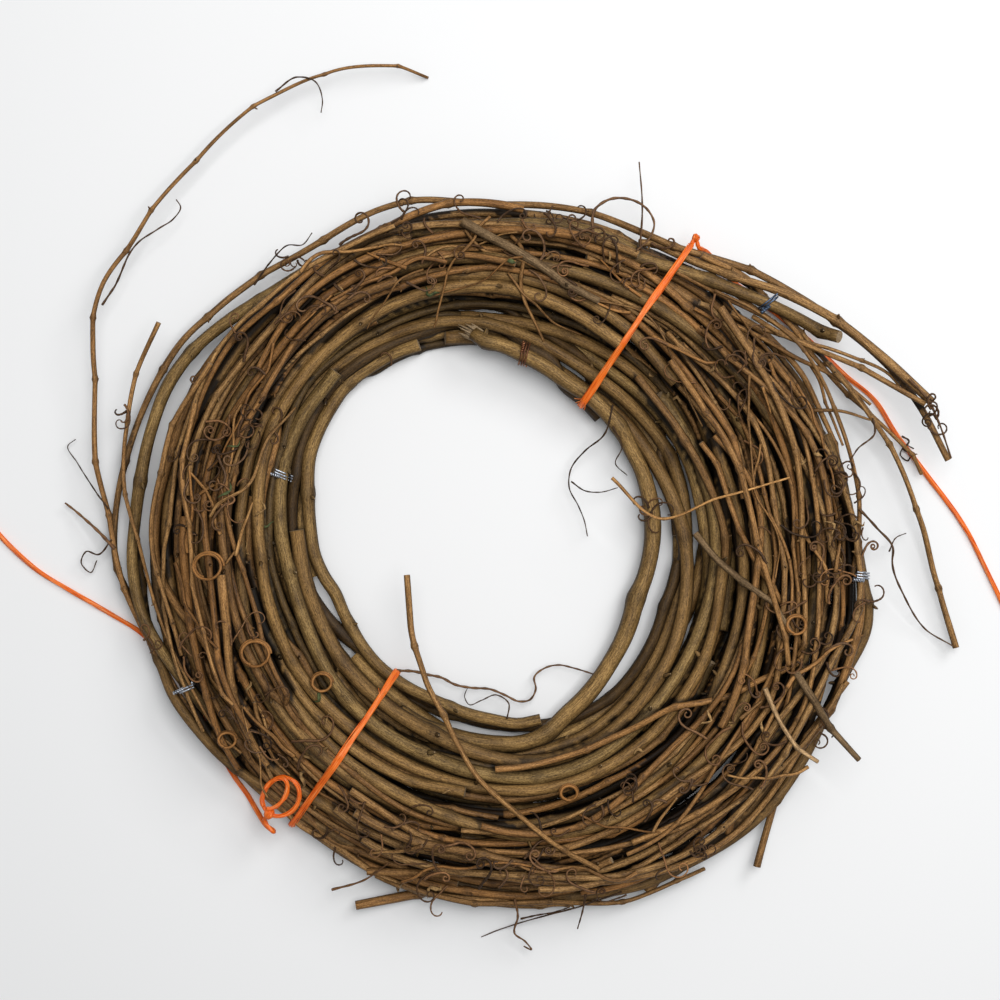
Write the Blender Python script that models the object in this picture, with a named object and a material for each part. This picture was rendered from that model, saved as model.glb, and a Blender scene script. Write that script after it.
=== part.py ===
"""A coil of grapevine canes for wreaths: canes in a flat ring, wire ties and two twine ties.

Metres, +Z up.  The ring lies flat with its underside at z = 0 and the origin under the middle of
its bounding box.  Every cane is drawn about the ring's own axis, in polar terms: azimuth in degrees
from +X, radius and height in millimetres.
"""
import math

import bmesh
import bpy
import numpy as np

for old in list(bpy.data.objects):
    bpy.data.objects.remove(old, do_unlink=True)

MM = 0.001

# ---- driving dimensions -------------------------------------------------------------------------
RING_AXIS = (-29.0, -38.0)      # the ring's axis, from the origin, mm
PILE_HEIGHT = 40.0              # height of the ring's crown, mm
PILE_EDGE = 12.0                # height of the pile at its inner and outer edges, mm
GAP = 0.5                       # clear space between neighbouring canes, mm
TOUCH_GAP = 0.35                # clear space between pieces that touch, mm

STATIONS = 48                   # radial planes round the ring; cane sections lie in them
STEP = 360.0 / STATIONS
FIRST_STATION = 10.5            # azimuth of station 0, degrees
SIDES = 6                       # sides of a cane's section, one of them flat on the ground
FLAT = math.cos(math.pi / SIDES)

UPPER_TIE = 55.5                # azimuths of the twine ties, both on a station
LOWER_TIE = 235.5
TWINE_WIDTH = 5.0
TWINE_THICKNESS = 1.6
TWINE_TAIL = 3.0                # diameter of a loose tail
TIE_LIFT = TWINE_THICKNESS + 5 * TOUCH_GAP      # what the canes are lifted by where twine passes below

TIE_STEPS = 36                  # sections round a tie

WIRE_RADIUS = 0.6
WIRE_PITCH = 1.9                # sideways advance of a wire for each turn
WIRE_LIFT = 2 * WIRE_RADIUS + 5 * TOUCH_GAP     # what a cane is lifted by where a wire passes below it
WIRE_STEPS = 14                 # sections in one turn of wire
WIRE_SIDES = 5

# How the canes settle.
ROUNDS = 2000
HOLD_SHOWN = 0.12               # pull of each cane back to its own course, in a round
HOLD_FILLING = 0.03
PUSH = 0.7                      # share of an overlap that one round clears
SMOOTHING = 0.15                # share of a filling cane's bend that one round eases
GROUND_SNAP = 0.4               # a cane this near to the ground is put on it, mm
LAY_GAP = 0.9                   # clear space under a stick laid on the pile, mm
TAIL_ROOM = 1.4                 # extra space kept round a loose tail, mm
FLARE_TURN = 14.0               # degrees over which a flared end leaves the ring
FLARE_HEIGHT = 12.0

# The inside and the outside edge of the ring: azimuth and radius.
INNER_EDGE = [(0, 110), (45, 112), (65, 112), (90, 128), (110, 138), (130, 137), (155, 127), (175, 115),
              (200, 103), (230, 106), (250, 108), (270, 114), (290, 122), (315, 114), (340, 109)]
OUTER_EDGE = [(0, 236), (30, 224), (55, 222), (90, 220), (120, 208), (150, 206), (180, 208), (205, 208),
              (235, 208), (255, 214), (275, 225), (295, 238), (315, 249), (335, 246)]

# Canes that show on their own: radius of the cane, then azimuth, radius and height along it.
SHOWN_CANES = {
    "long_whip": (2.0, [(97, 314, 10), (108, 328, 19), (120, 320, 25), (137, 304, 27), (148, 300, 26),
                        (156, 279, 22), (174, 250, 15), (190, 234, 14), (204, 221, 18), (215, 214, 22)]),
    "left_twig": (1.5, [(144, 258, 34), (155, 251, 24), (164, 246, 20), (178, 228, 20), (188, 218, 24),
                        (202, 213, 26), (220, 209, 26)]),
    "outer_arc_cane": (2.2, [(11, 307, 28), (31, 276, 30), (49, 238, 30), (64, 228, 26), (91, 224, 24),
                             (105, 229, 24), (126, 224, 24), (146, 239, 18), (173, 244, 9), (182, 244, 8),
                             (193, 229, 12), (201, 220, 14)]),
    "left_thick_cane": (4.0, [(66, 217, 24), (86, 208, 30), (102, 208, 30), (131, 214, 26), (150, 231, 22),
                              (187, 230, 18), (204, 216, 22), (224, 211, 20)]),
    "left_inner_cane": (3.2, [(105, 203, 34), (121, 206, 32), (135, 215, 26), (160, 214, 22), (180, 216, 20),
                              (198, 193, 30), (218, 184, 34)]),
    "left_edge_cane": (4.0, [(114, 196, 30), (132, 206, 24), (148, 204, 22), (160, 208, 20), (180, 209, 18),
                             (200, 204, 20), (217, 199, 24), (242, 199, 24), (260, 206, 20)]),
    "bottom_outline_cane": (3.6, [(205, 225, 22), (216, 218, 20), (240, 211, 17), (254, 218, 14),
                                  (275, 229, 14), (295, 242, 14), (313, 253, 14), (336, 249, 18),
                                  (348, 255, 18), (359, 243, 20), (379, 229, 24)]),
    "right_outline_cane": (3.4, [(338, 253, 10), (348, 246, 12), (358, 238, 14), (379, 228, 18),
                                 (400, 215, 24), (428, 201, 30)]),
    "right_tied_cane": (2.6, [(318, 240, 26), (334, 247, 26), (348, 250, 26), (356, 244, 26), (372, 234, 26),
                              (392, 222, 28)]),
    "sawn_cane": (4.4, [(30, 270, 26), (36, 254, 28), (42, 241, 30), (48, 229, 30), (55, 218, 30),
                        (69, 206, 30), (91, 199, 30)]),
    "right_prong": (2.8, [(19, 306, 34), (27, 281, 34), (37, 257, 34), (43, 246, 32), (53, 232, 28),
                          (63, 221, 24)]),
    "right_whip": (2.0, [(-12, 320, 8), (-10, 305, 10), (1, 290, 14), (6, 284, 18), (9, 279, 20),
                         (18, 266, 24), (31, 251, 26), (45, 245, 24), (54, 230, 20)]),
    "right_inner_twig": (1.5, [(-8, 240, 34), (1, 242, 36), (21, 243, 40), (30, 243, 40), (38, 236, 38),
                               (48, 222, 36)]),
    "knob_twig": (1.7, [(16, 309, 40), (19, 294, 40), (24, 270, 40), (33, 243, 38), (42, 225, 36)]),
    "split_cane": (5.4, [(-116, 125, 14), (-97, 128, 18), (-80, 131, 20), (-65, 123, 18), (-44, 114, 16),
                         (-20, 108, 14), (7, 112, 14), (24, 113, 16), (48, 117, 20), (64, 119, 24),
                         (77, 127, 26), (89, 136, 27), (95, 136, 27)]),
    "hole_edge_cane": (4.2, [(107, 140, 12), (130, 138, 12), (154, 129, 12), (173, 116, 12), (184, 112, 12),
                             (199, 102, 12), (212, 102, 12), (228, 105, 14), (250, 107, 16), (272, 114, 18),
                             (285, 120, 20)]),
}

# Families of canes that fill the ring: how many, thinnest and thickest cane radius, and the share of
# the ring's width that they lie in, from its inside edge.
FAMILIES = {"inner_cane": (10, 3.9, 4.9, 0.05, 0.42),
            "middle_cane": (9, 3.0, 4.1, 0.38, 0.70),
            "outer_cane": (8, 2.3, 3.3, 0.62, 0.96)}
# Cut ends of outer canes that stand out past the ring: azimuth and radius of the tip.
FLARED_ENDS = [(246, 248), (253, 250), (293, 262), (308, 268), (318, 264)]

# Sticks lying on top of the ring: radius of the stick, then azimuth and radius along it.
KINKED_STICK = (2.0, [(-86, 146), (-73, 145), (-60, 146), (-49, 153), (-42, 159), (-31, 181), (-22, 208),
                      (-18, 222), (-14, 206), (-10, 188), (-3, 174), (8, 161), (21, 156), (29, 157)])
STICKS = {"centre_stick": (1.9, [(200, 54), (229, 70), (249, 98), (261, 124), (268, 146), (279, 178),
                                 (284, 201), (290, 218)]),
          "grey_stick_top": (3.0, [(94, 208), (86, 194), (78, 184), (71, 176), (65, 172)]),
          "grey_stick_right": (2.0, [(3, 135), (-3, 148), (-11, 188), (-16, 203)]),
          "pale_stick": (1.6, [(-27, 200), (-30, 216), (-32, 235), (-33, 254)]),
          "cut_stick": (2.2, [(-22, 214), (-27, 249), (-30, 277)])}
STICK_SPACING = 12.0
STICK_SLOPE = 0.25              # the steepest that a stick on the pile runs
FINE = 2.0                      # how finely a stick's course is laid on the pile, mm
MOST_DROOP = 8.0                # how far a stick's free end drops below its highest rest, mm
ELBOW_REACH = 14.0              # half the length of a straight run of the kinked stick, mm

# Wire ties: azimuth (on a station), turns of wire, and the canes that each holds.
WIRES = {"steel_wire_right": (355.5, 2.8, ["bottom_outline_cane", "right_tied_cane"]),
         "steel_wire_left": (205.5, 1.8, ["left_thick_cane"]),
         "steel_wire_inner": (160.5, 2.8, ["inner_cane_04"]),
         "copper_wire": (78.0, 2.8, ["split_cane"]),
         "blue_wire": (40.5, 1.8, ["sawn_cane"])}

# The loose ends of the two ties: azimuth, radius and height along each, from its knot.
RIGHT_TAIL = [(54.2, 239, 27), (53, 241, 20), (51.5, 241, 13), (49.5, 240, 7), (47, 240, 3), (43.5, 242, 1.6),
              (38.5, 247, 1.6), (31, 256, 1.6), (25, 265, 1.6), (21, 275, 1.6), (15, 283, 1.6), (9, 297, 1.6),
              (3, 316, 1.6), (-4, 337, 1.6), (-7, 348, 1.6)]
LEFT_TAIL = [(233.6, 231, 24), (232, 233, 15), (229.5, 231, 7), (226.5, 228, 2.4), (223, 226, 1.6),
             (217, 222, 1.6), (211, 219, 1.6), (205, 220, 1.6), (200, 224, 1.6), (195, 233, 1.6),
             (190, 254, 1.6), (186, 278, 1.6), (183, 298, 1.6), (180, 315, 1.6), (177, 331, 1.6)]
TAIL_POINTS = 52

# The knots: half the upper knot's size outward, along the ring and up, then the slip knot's loop.
KNOT_SIZE = (3.6, 5.2, 5.0)
LOOP_PLACE = (231.0, 209.0)     # azimuth and radius of the loop's middle
LOOP_RADIUS = 12.5
LOOP_THICKNESS = 2.4            # half the width of the doubled strand
LOOP_STEPS = 24

# ---- looks --------------------------------------------------------------------------------------
COLOURS = {"olive_cane": ((0.27, 0.17, 0.08), 0.55, 0.0),
           "brown_cane": ((0.23, 0.12, 0.05), 0.6, 0.0),
           "grey_wood": ((0.32, 0.26, 0.18), 0.8, 0.0),
           "orange_twine": ((0.9, 0.18, 0.03), 0.4, 0.0),
           "steel_wire": ((0.5, 0.52, 0.56), 0.35, 1.0),
           "copper_wire": ((0.45, 0.2, 0.1), 0.4, 1.0)}


def make_material(name):
    """A plain material with one of the colours, roughness and metallic values above."""
    colour, roughness, metallic = COLOURS[name]
    material = bpy.data.materials.new(name)
    material.use_nodes = True
    shader = material.node_tree.nodes["Principled BSDF"]
    shader.inputs["Base Color"].default_value = (*colour, 1.0)
    shader.inputs["Roughness"].default_value = roughness
    shader.inputs["Metallic"].default_value = metallic
    return material


MATERIALS = {name: make_material(name) for name in COLOURS}
ring_axis = bpy.data.objects.new("ring_axis", None)
bpy.context.collection.objects.link(ring_axis)
ring_axis.location = (RING_AXIS[0] * MM, RING_AXIS[1] * MM, 0)


def add_object(name, data, material):
    """Put a mesh or a curve in the scene under the ring's axis."""
    data.materials.append(MATERIALS[material])
    piece = bpy.data.objects.new(name, data)
    bpy.context.collection.objects.link(piece)
    piece.parent = ring_axis
    return piece


def add_skin(name, rings, material, closed=False):
    """Skin a chain of rings of points, in mm, and cap its ends unless the chain closes."""
    mesh = bmesh.new()
    loops = [[mesh.verts.new([value * MM for value in point]) for point in ring] for ring in rings]
    for here, after in zip(loops, loops[1:] + loops[:1] if closed else loops[1:]):
        for side in range(len(here)):
            other = (side + 1) % len(here)
            mesh.faces.new((here[side], here[other], after[other], after[side]))
    if not closed:
        mesh.faces.new(loops[0][::-1])
        mesh.faces.new(loops[-1])
    bmesh.ops.triangulate(mesh, faces=mesh.faces[:])
    bmesh.ops.recalc_face_normals(mesh, faces=mesh.faces[:])
    data = bpy.data.meshes.new(name)
    mesh.to_mesh(data)
    mesh.free()
    return add_object(name, data, material)


def polar(azimuth, radius, height=0.0):
    """The point at an azimuth in degrees, a radius and a height."""
    turn = math.radians(azimuth)
    return np.array((radius * math.cos(turn), radius * math.sin(turn), height))


def edge_radius(edge, azimuth):
    """The radius of the ring's inside or outside edge at an azimuth."""
    azimuths, radii = zip(*edge)
    return np.interp(azimuth, azimuths, radii, period=360.0)


# ---- the canes' courses -------------------------------------------------------------------------
class Cane:
    """One cane: its thickness and its course, as a radius and a height at each station it passes."""

    def __init__(self, name, thickness, points, every, pull):
        azimuths, radii, heights = np.array(points, dtype=float).T
        first = round((azimuths[0] - FIRST_STATION) / (STEP * every)) * every
        last = round((azimuths[-1] - FIRST_STATION) / (STEP * every)) * every
        self.name = name
        self.thickness = thickness                  # half its width
        self.every = every                          # 1, or 2 for a section at every second station
        self.pull = pull
        self.stations = np.arange(first, min(last, first + STATIONS - 2) + 1)
        self.azimuths = FIRST_STATION + self.stations * STEP
        self.radii = np.interp(self.azimuths, azimuths, radii)
        self.heights = np.interp(self.azimuths, azimuths, heights)

    def widths(self):
        """Half the width of the section in each radial plane, more where the cane crosses it aslant."""
        slope = np.gradient(self.radii) / self.radii / math.radians(STEP)
        return self.thickness * np.sqrt(1 + slope ** 2)


def family_canes(chance):
    """The canes that fill the ring, each with its own start, length, lane and slow wander."""
    canes = []
    flared = list(FLARED_ENDS)
    for family, (count, thinnest, thickest, lane_in, lane_out) in FAMILIES.items():
        for index in range(count):
            start = chance.uniform(0, 360)
            length = chance.uniform(270, 344)
            tip = flared.pop() if family == "outer_cane" and flared else None
            if tip:
                start = tip[0]
            azimuths = np.arange(start, start + length, STEP)
            turn = np.radians(azimuths)
            lane = lane_in + (lane_out - lane_in) * (index + 0.5) / count
            swing = chance.uniform(0.03, 0.08, 2)
            phase = chance.uniform(0, 2 * math.pi, 4)
            lane = lane + swing[0] * np.sin(turn + phase[0]) + swing[1] * np.sin(2 * turn + phase[1])
            lane = np.clip(lane, 0.02, 0.99)
            inside = edge_radius(INNER_EDGE, azimuths)
            outside = edge_radius(OUTER_EDGE, azimuths)
            radii = inside + lane * (outside - inside)
            crown = PILE_EDGE + (PILE_HEIGHT - PILE_EDGE) * np.sin(math.pi * lane)
            level = (index * 2 % 3) / 2 + 0.25 * np.sin(turn + phase[2]) + 0.15 * np.sin(3 * turn + phase[3])
            heights = crown * np.clip(level, 0.0, 1.0)
            if tip:
                nearness = np.clip(1 - (azimuths - start) / FLARE_TURN, 0, 1)
                radii = radii + nearness * (tip[1] - radii)
                heights = heights + nearness * (FLARE_HEIGHT - heights)
            thickness = chance.uniform(thinnest, thickest)
            points = np.column_stack((azimuths, radii, heights))
            canes.append(Cane(f"{family}_{index + 1:02d}", thickness, points, 2, HOLD_FILLING))
    return canes


def tail_obstacle(name, points):
    """A twine tail as a cane that never moves, so that the canes settle clear of it."""
    return Cane(name, TWINE_TAIL / 2 + TAIL_ROOM, sorted(points), 1, 0.0)


def between(values, share):
    """Values part of the way from each station to the next."""
    return (1 - share) * values + share * np.roll(values, -1, axis=1)


def straighten(values, inner, sag):
    """Make a cane run straight past each station that has no section, and share its bend out.

    sag is what a straight run keeps of the radius halfway between two sections.
    """
    chord = sag * (np.roll(values, 1, axis=1) + np.roll(values, -1, axis=1)) / 2
    bend = np.where(inner, values - chord, 0.0) / 2
    values += np.roll(bend, 1, axis=1) + np.roll(bend, -1, axis=1)
    chord = sag * (np.roll(values, 1, axis=1) + np.roll(values, -1, axis=1)) / 2
    values[inner] = chord[inner]


def settle(canes, fixed_count):
    """Ease the canes apart until no two come nearer than GAP, and none goes below the ground.

    The last fixed_count canes stay where they are.
    """
    count = len(canes)
    present = np.zeros((count, STATIONS), dtype=bool)
    radii = np.zeros((count, STATIONS))
    heights = np.zeros((count, STATIONS))
    for row, cane in enumerate(canes):
        where = cane.stations % STATIONS
        present[row, where] = True
        radii[row, where] = cane.radii
        heights[row, where] = cane.heights
    goal_radii, goal_heights = radii.copy(), heights.copy()
    thickness = np.array([cane.thickness for cane in canes])
    pull = np.array([cane.pull for cane in canes])[:, None]
    free = np.ones((count, 1))
    free[count - fixed_count:] = 0.0
    coarse = np.array([cane.every == 2 for cane in canes])
    coarse_inner = coarse[:, None] & present & (np.arange(STATIONS) % 2 == 1)
    spacing = thickness[:, None, None] + thickness[None, :, None] + GAP + wire_room(canes)
    floor = thickness[:, None] * FLAT + ground_room(canes)
    share_of_push = free[:, None, :] / np.maximum(free[:, None, :] + free[None, :, :], 1.0)
    both_sides = present & np.roll(present, 1, axis=1) & np.roll(present, -1, axis=1)

    for step in range(ROUNDS):
        ease = max(0.0, 1.0 - step / (0.6 * ROUNDS))
        radii += free * pull * ease * (goal_radii - radii)
        heights += free * pull * ease * (goal_heights - heights)
        for values in (radii, heights):
            bend = (np.roll(values, 1, axis=1) + np.roll(values, -1, axis=1)) / 2 - values
            values += free * SMOOTHING * ease * np.where(both_sides, bend, 0.0) * (pull < HOLD_SHOWN)
        for share in (0.0, 0.5) if step % 2 else (0.25, 0.75):
            here = present if share == 0 else present & np.roll(present, -1, axis=1)
            r, z = between(radii, share), between(heights, share)
            slope = (np.roll(radii, -1, axis=1) - radii) / (radii + 1.0) / math.radians(STEP)
            stretch = np.sqrt(1 + np.where(present & np.roll(present, -1, axis=1), slope, 0.0) ** 2) - 1
            extra = thickness[:, None] * stretch
            away_r = r[:, None, :] - r[None, :, :]
            away_z = z[:, None, :] - z[None, :, :]
            apart = np.sqrt(away_r ** 2 + away_z ** 2) + 1e-6
            short = spacing + extra[:, None, :] + extra[None, :, :] - apart
            active = here[:, None, :] & here[None, :, :] & (short > 0)
            active[np.arange(count), np.arange(count)] = False
            push = np.where(active, short * share_of_push * PUSH, 0.0)
            push_r = (push * away_r / apart).sum(axis=1)
            push_z = (push * away_z / apart).sum(axis=1)
            for values, move in ((radii, push_r), (heights, push_z)):
                values += free * (1 - share) * move
                values += free * share * np.roll(move, 1, axis=1)
        heights = np.where(free > 0, np.maximum(heights, floor), heights)
        straighten(radii, coarse_inner, math.cos(math.radians(STEP)))
        straighten(heights, coarse_inner, 1.0)

    for row, cane in enumerate(canes):
        where = cane.stations % STATIONS
        cane.radii = radii[row, where]
        cane.heights = heights[row, where]
        on_ground = cane.heights < floor[row, where] + GROUND_SNAP
        cane.heights[on_ground] = floor[row, where][on_ground]


def station_of(azimuth):
    """The station at an azimuth."""
    return round((azimuth - FIRST_STATION) / STEP) % STATIONS


def wire_room(canes):
    """Extra distance, at the stations where wires pass, between a held cane and every other."""
    names = [cane.name for cane in canes]
    room = np.zeros((len(canes), len(canes), STATIONS))
    for azimuth, _, held in WIRES.values():
        rows = [names.index(name) for name in held]
        others = [row for row in range(len(canes)) if row not in rows]
        for beside in (-1, 0, 1):
            station = (station_of(azimuth) + beside) % STATIONS
            room[np.ix_(rows, others, [station])] = 2 * WIRE_RADIUS + 2 * GAP
            room[np.ix_(others, rows, [station])] = 2 * WIRE_RADIUS + 2 * GAP
    return room


def ground_room(canes):
    """How far each cane is held off the ground at each station, where twine or wire passes below."""
    names = [cane.name for cane in canes]
    lift = np.zeros((len(canes), STATIONS))
    for beside in (-1, 0, 1):
        for azimuth in (UPPER_TIE, LOWER_TIE):
            lift[:, (station_of(azimuth) + beside) % STATIONS] = TIE_LIFT
        for azimuth, _, held in WIRES.values():
            for name in held:
                lift[names.index(name), (station_of(azimuth) + beside) % STATIONS] = WIRE_LIFT
    return lift


# ---- skins --------------------------------------------------------------------------------------
def build_cane(cane, material):
    """Skin a cane with one flat-bottomed section in each radial plane that it has."""
    rings = []
    widths = cane.widths()
    for place in range(0, len(cane.stations), cane.every):
        wide = widths[place]
        ring = []
        for side in range(SIDES):
            angle = 2 * math.pi * side / SIDES
            ring.append(polar(cane.azimuths[place], cane.radii[place] + wide * math.cos(angle),
                              cane.heights[place] + cane.thickness * math.sin(angle)))
        rings.append(ring)
    add_skin(cane.name, rings, material)


def cane_points(cane, spacing=3.0):
    """Points along a settled cane's middle, about spacing apart."""
    keep = range(0, len(cane.stations), cane.every)
    corners = np.array([polar(cane.azimuths[i], cane.radii[i], cane.heights[i]) for i in keep])
    return resample(corners, spacing)


def resample(corners, spacing):
    """Points a regular distance apart along a chain of straight lines."""
    lengths = np.linalg.norm(np.diff(corners, axis=0), axis=1)
    along = np.concatenate(([0], np.cumsum(lengths)))
    places = np.linspace(0, along[-1], max(2, round(along[-1] / spacing) + 1))
    return np.column_stack([np.interp(places, along, corners[:, axis]) for axis in range(3)])


class Pile:
    """Everything laid so far, as small balls, for laying more on top of it."""

    def __init__(self):
        self.points = np.zeros((0, 3))
        self.sizes = np.zeros(0)

    def add(self, points, size):
        self.points = np.vstack((self.points, points))
        self.sizes = np.concatenate((self.sizes, np.full(len(points), size)))

    def rest_height(self, place, size):
        """The lowest height of a ball's middle that lies on the pile, or on the ground."""
        reach = self.sizes + size + LAY_GAP
        away = np.linalg.norm(self.points[:, :2] - place[:2], axis=1)
        near = away < reach
        rests = self.points[near, 2] + np.sqrt(reach[near] ** 2 - away[near] ** 2)
        return max(size, rests.max()) if near.any() else size


def lay_on(pile, corners, size, hold_level):
    """Lay a stick along a plan course on the pile; hold_level keeps its free ends in the air."""
    fine = resample(corners, FINE)
    rests = np.array([pile.rest_height(point, size) for point in fine])
    if hold_level:
        rests = np.maximum(rests, rests.max() - MOST_DROOP)
    along = np.arange(len(fine)) * FINE
    heights = np.max(rests[None, :] - STICK_SLOPE * np.abs(along[:, None] - along[None, :]), axis=1)
    window = round(STICK_SPACING / FINE)
    padded = np.pad(heights, window, mode="edge")
    fine[:, 2] = [padded[i:i + 2 * window + 1].max() for i in range(len(heights))]
    return fine


def build_stick(name, pile, size, points, material, hold_level):
    """A stick on top of the pile, with its sections square to the line between its ends."""
    corners = np.array([polar(azimuth, radius) for azimuth, radius in points])
    fine = lay_on(pile, corners, size, hold_level)
    chord = fine[-1, :2] - fine[0, :2]
    chord = chord / np.linalg.norm(chord)
    across = np.array((-chord[1], chord[0], 0.0))
    count = max(3, round(len(fine) * FINE / STICK_SPACING) + 1)
    places = np.linspace(0, len(fine) - 1, count).round().astype(int)
    middle = fine[places]
    run = np.gradient(middle[:, :2], axis=0)
    run = run / np.linalg.norm(run, axis=1)[:, None]
    rings = []
    for centre, way in zip(middle, run):
        wide = size / max(0.5, float(way @ chord))
        rings.append([centre + across * wide * math.cos(2 * math.pi * side / SIDES)
                      + np.array((0, 0, size * math.sin(2 * math.pi * side / SIDES)))
                      for side in range(SIDES)])
    add_skin(name, rings, material)
    pile.add(resample(middle, FINE), size)


def build_kinked_stick(pile, material):
    """The long stick with one sharp elbow: it follows the ring, so its sections are radial."""
    size, points = KINKED_STICK
    stick = Cane("kinked_stick", size, [(azimuth, radius, 0) for azimuth, radius in points], 1, 0.0)
    corners = np.array([polar(*place) for place in zip(stick.azimuths, stick.radii, stick.heights)])
    fine = lay_on(pile, corners, size, False)
    for index, corner in enumerate(corners):
        away = np.linalg.norm(fine[:, :2] - corner[:2], axis=1)
        stick.heights[index] = fine[away < ELBOW_REACH, 2].max()
    build_cane(stick, material)
    pile.add(cane_points(stick, FINE), size)


# ---- ties ---------------------------------------------------------------------------------------
def discs_at(canes, azimuth, half_width):
    """Middle radius, height and size of each given cane's sections at and beside an azimuth."""
    discs = []
    for cane in canes:
        middle = np.interp(azimuth, cane.azimuths, cane.radii, period=360.0)
        for sideways in (-1, 0, 1):
            place = azimuth + sideways * math.degrees(half_width / middle)
            for turn in (-360.0, 0.0, 360.0):
                if cane.azimuths[0] <= place + turn <= cane.azimuths[-1]:
                    section = [np.interp(place + turn, cane.azimuths, values)
                               for values in (cane.radii, cane.heights, cane.widths())]
                    discs.append(section)
    return np.array(discs)


def around(discs, angle, clearance):
    """The point, in a radial plane, of a loop drawn tight round the discs, in one direction."""
    way = np.array((math.cos(angle), math.sin(angle)))
    farthest = np.argmax(discs[:, :2] @ way + discs[:, 2])
    return discs[farthest, :2] + way * (discs[farthest, 2] + clearance)


def in_plane(azimuth, radius, height, sideways):
    """A point of a radial plane, moved sideways along the ring."""
    turn = math.radians(azimuth)
    return polar(azimuth, radius, height) + sideways * np.array((-math.sin(turn), math.cos(turn), 0))


def build_wire(name, canes):
    """A wire wound round the canes that it holds, its turns side by side."""
    azimuth, turns, held = WIRES[name]
    half_width = WIRE_PITCH * turns / 2 + WIRE_RADIUS
    discs = discs_at([cane for cane in canes if cane.name in held], azimuth, half_width)
    clearance = TOUCH_GAP + WIRE_RADIUS
    rings = []
    for step in range(round(turns * WIRE_STEPS) + 1):
        angle = 2 * math.pi * step / WIRE_STEPS
        centre = around(discs, angle, clearance)
        sideways = WIRE_PITCH * (step / WIRE_STEPS - turns / 2)
        ring = []
        for side in range(WIRE_SIDES):
            tilt = 2 * math.pi * side / WIRE_SIDES
            out = np.array((math.cos(angle), math.sin(angle))) * WIRE_RADIUS * math.cos(tilt)
            ring.append(in_plane(azimuth, centre[0] + out[0], centre[1] + out[1],
                                 sideways + WIRE_RADIUS * math.sin(tilt)))
        rings.append(ring)
    add_skin(name, rings, "copper_wire" if name == "copper_wire" else "steel_wire")


def build_tie(name, pile, canes, azimuth):
    """A band of twine drawn tight round every cane at an azimuth; returns what it is drawn round."""
    discs = discs_at(canes, azimuth, TWINE_WIDTH / 2)
    inside = 2 * TOUCH_GAP
    rings = []
    for step in range(TIE_STEPS):
        angle = 2 * math.pi * step / TIE_STEPS
        inner = around(discs, angle, inside)
        outer = around(discs, angle, inside + TWINE_THICKNESS)
        rings.append([in_plane(azimuth, *inner, -TWINE_WIDTH / 2),
                      in_plane(azimuth, *outer, -TWINE_WIDTH / 2),
                      in_plane(azimuth, *outer, TWINE_WIDTH / 2),
                      in_plane(azimuth, *inner, TWINE_WIDTH / 2)])
    add_skin(name, rings, "orange_twine", closed=True)
    pile.add(resample(np.array([(ring[1] + ring[2]) / 2 for ring in rings]), FINE), TWINE_THICKNESS)
    return discs


def build_upper_knot(discs):
    """The lump where the upper tie is drawn tight, against its outer side."""
    reach, height = around(discs, 0.0, 2 * TOUCH_GAP + TWINE_THICKNESS + TOUCH_GAP)
    ball = bmesh.new()
    bmesh.ops.create_icosphere(ball, subdivisions=2, radius=1.0)
    turn = math.radians(UPPER_TIE)
    for vertex in ball.verts:
        out, side, up = (vertex.co[axis] * KNOT_SIZE[axis] for axis in range(3))
        out += reach + KNOT_SIZE[0]
        vertex.co = ((out * math.cos(turn) - side * math.sin(turn)) * MM,
                     (out * math.sin(turn) + side * math.cos(turn)) * MM, (height + up) * MM)
    data = bpy.data.meshes.new("upper_knot")
    ball.to_mesh(data)
    ball.free()
    add_object("upper_knot", data, "orange_twine")


def build_slip_knot(pile):
    """The loop of the lower tie's slip knot, lying on the outer canes."""
    middle = polar(*LOOP_PLACE)
    turns = np.arange(LOOP_STEPS) * 360.0 / LOOP_STEPS
    room = LOOP_THICKNESS + GAP
    height = max(pile.rest_height(middle + polar(turn, LOOP_RADIUS), room) for turn in turns)
    rings = []
    for turn in turns:
        rings.append([middle + polar(turn, LOOP_RADIUS + LOOP_THICKNESS * math.cos(tilt),
                                     height + LOOP_THICKNESS * math.sin(tilt))
                      for tilt in np.arange(SIDES) * 2 * math.pi / SIDES])
    add_skin("slip_knot", rings, "orange_twine", closed=True)


def build_tail(name, route):
    """A loose tail of twine: a round cord on one smooth curve through its route's points."""
    corners = np.array([polar(*place) for place in route])
    lengths = np.linalg.norm(np.diff(corners, axis=0), axis=1)
    along = np.concatenate(([0], np.cumsum(lengths)))
    tangents = np.gradient(corners, along, axis=0)
    curve = bpy.data.curves.new(name, "CURVE")
    curve.dimensions = "3D"
    curve.bevel_depth = TWINE_TAIL / 2 * MM
    curve.bevel_resolution = 2
    curve.resolution_u = 1
    curve.render_resolution_u = 0
    curve.use_fill_caps = True
    spline = curve.splines.new("POLY")
    spline.points.add(TAIL_POINTS - 1)
    for index, place in enumerate(np.linspace(0, along[-1], TAIL_POINTS)):
        leg = min(np.searchsorted(along, place, side="right") - 1, len(corners) - 2)
        span = along[leg + 1] - along[leg]
        t = (place - along[leg]) / span
        point = ((2 * t**3 - 3 * t**2 + 1) * corners[leg] + (t**3 - 2 * t**2 + t) * span * tangents[leg]
                 + (3 * t**2 - 2 * t**3) * corners[leg + 1] + (t**3 - t**2) * span * tangents[leg + 1])
        point[2] = max(point[2], TWINE_TAIL / 2 + 0.05)
        spline.points[index].co = (*(point * MM), 1.0)
    add_object(name, curve, "orange_twine")


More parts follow.
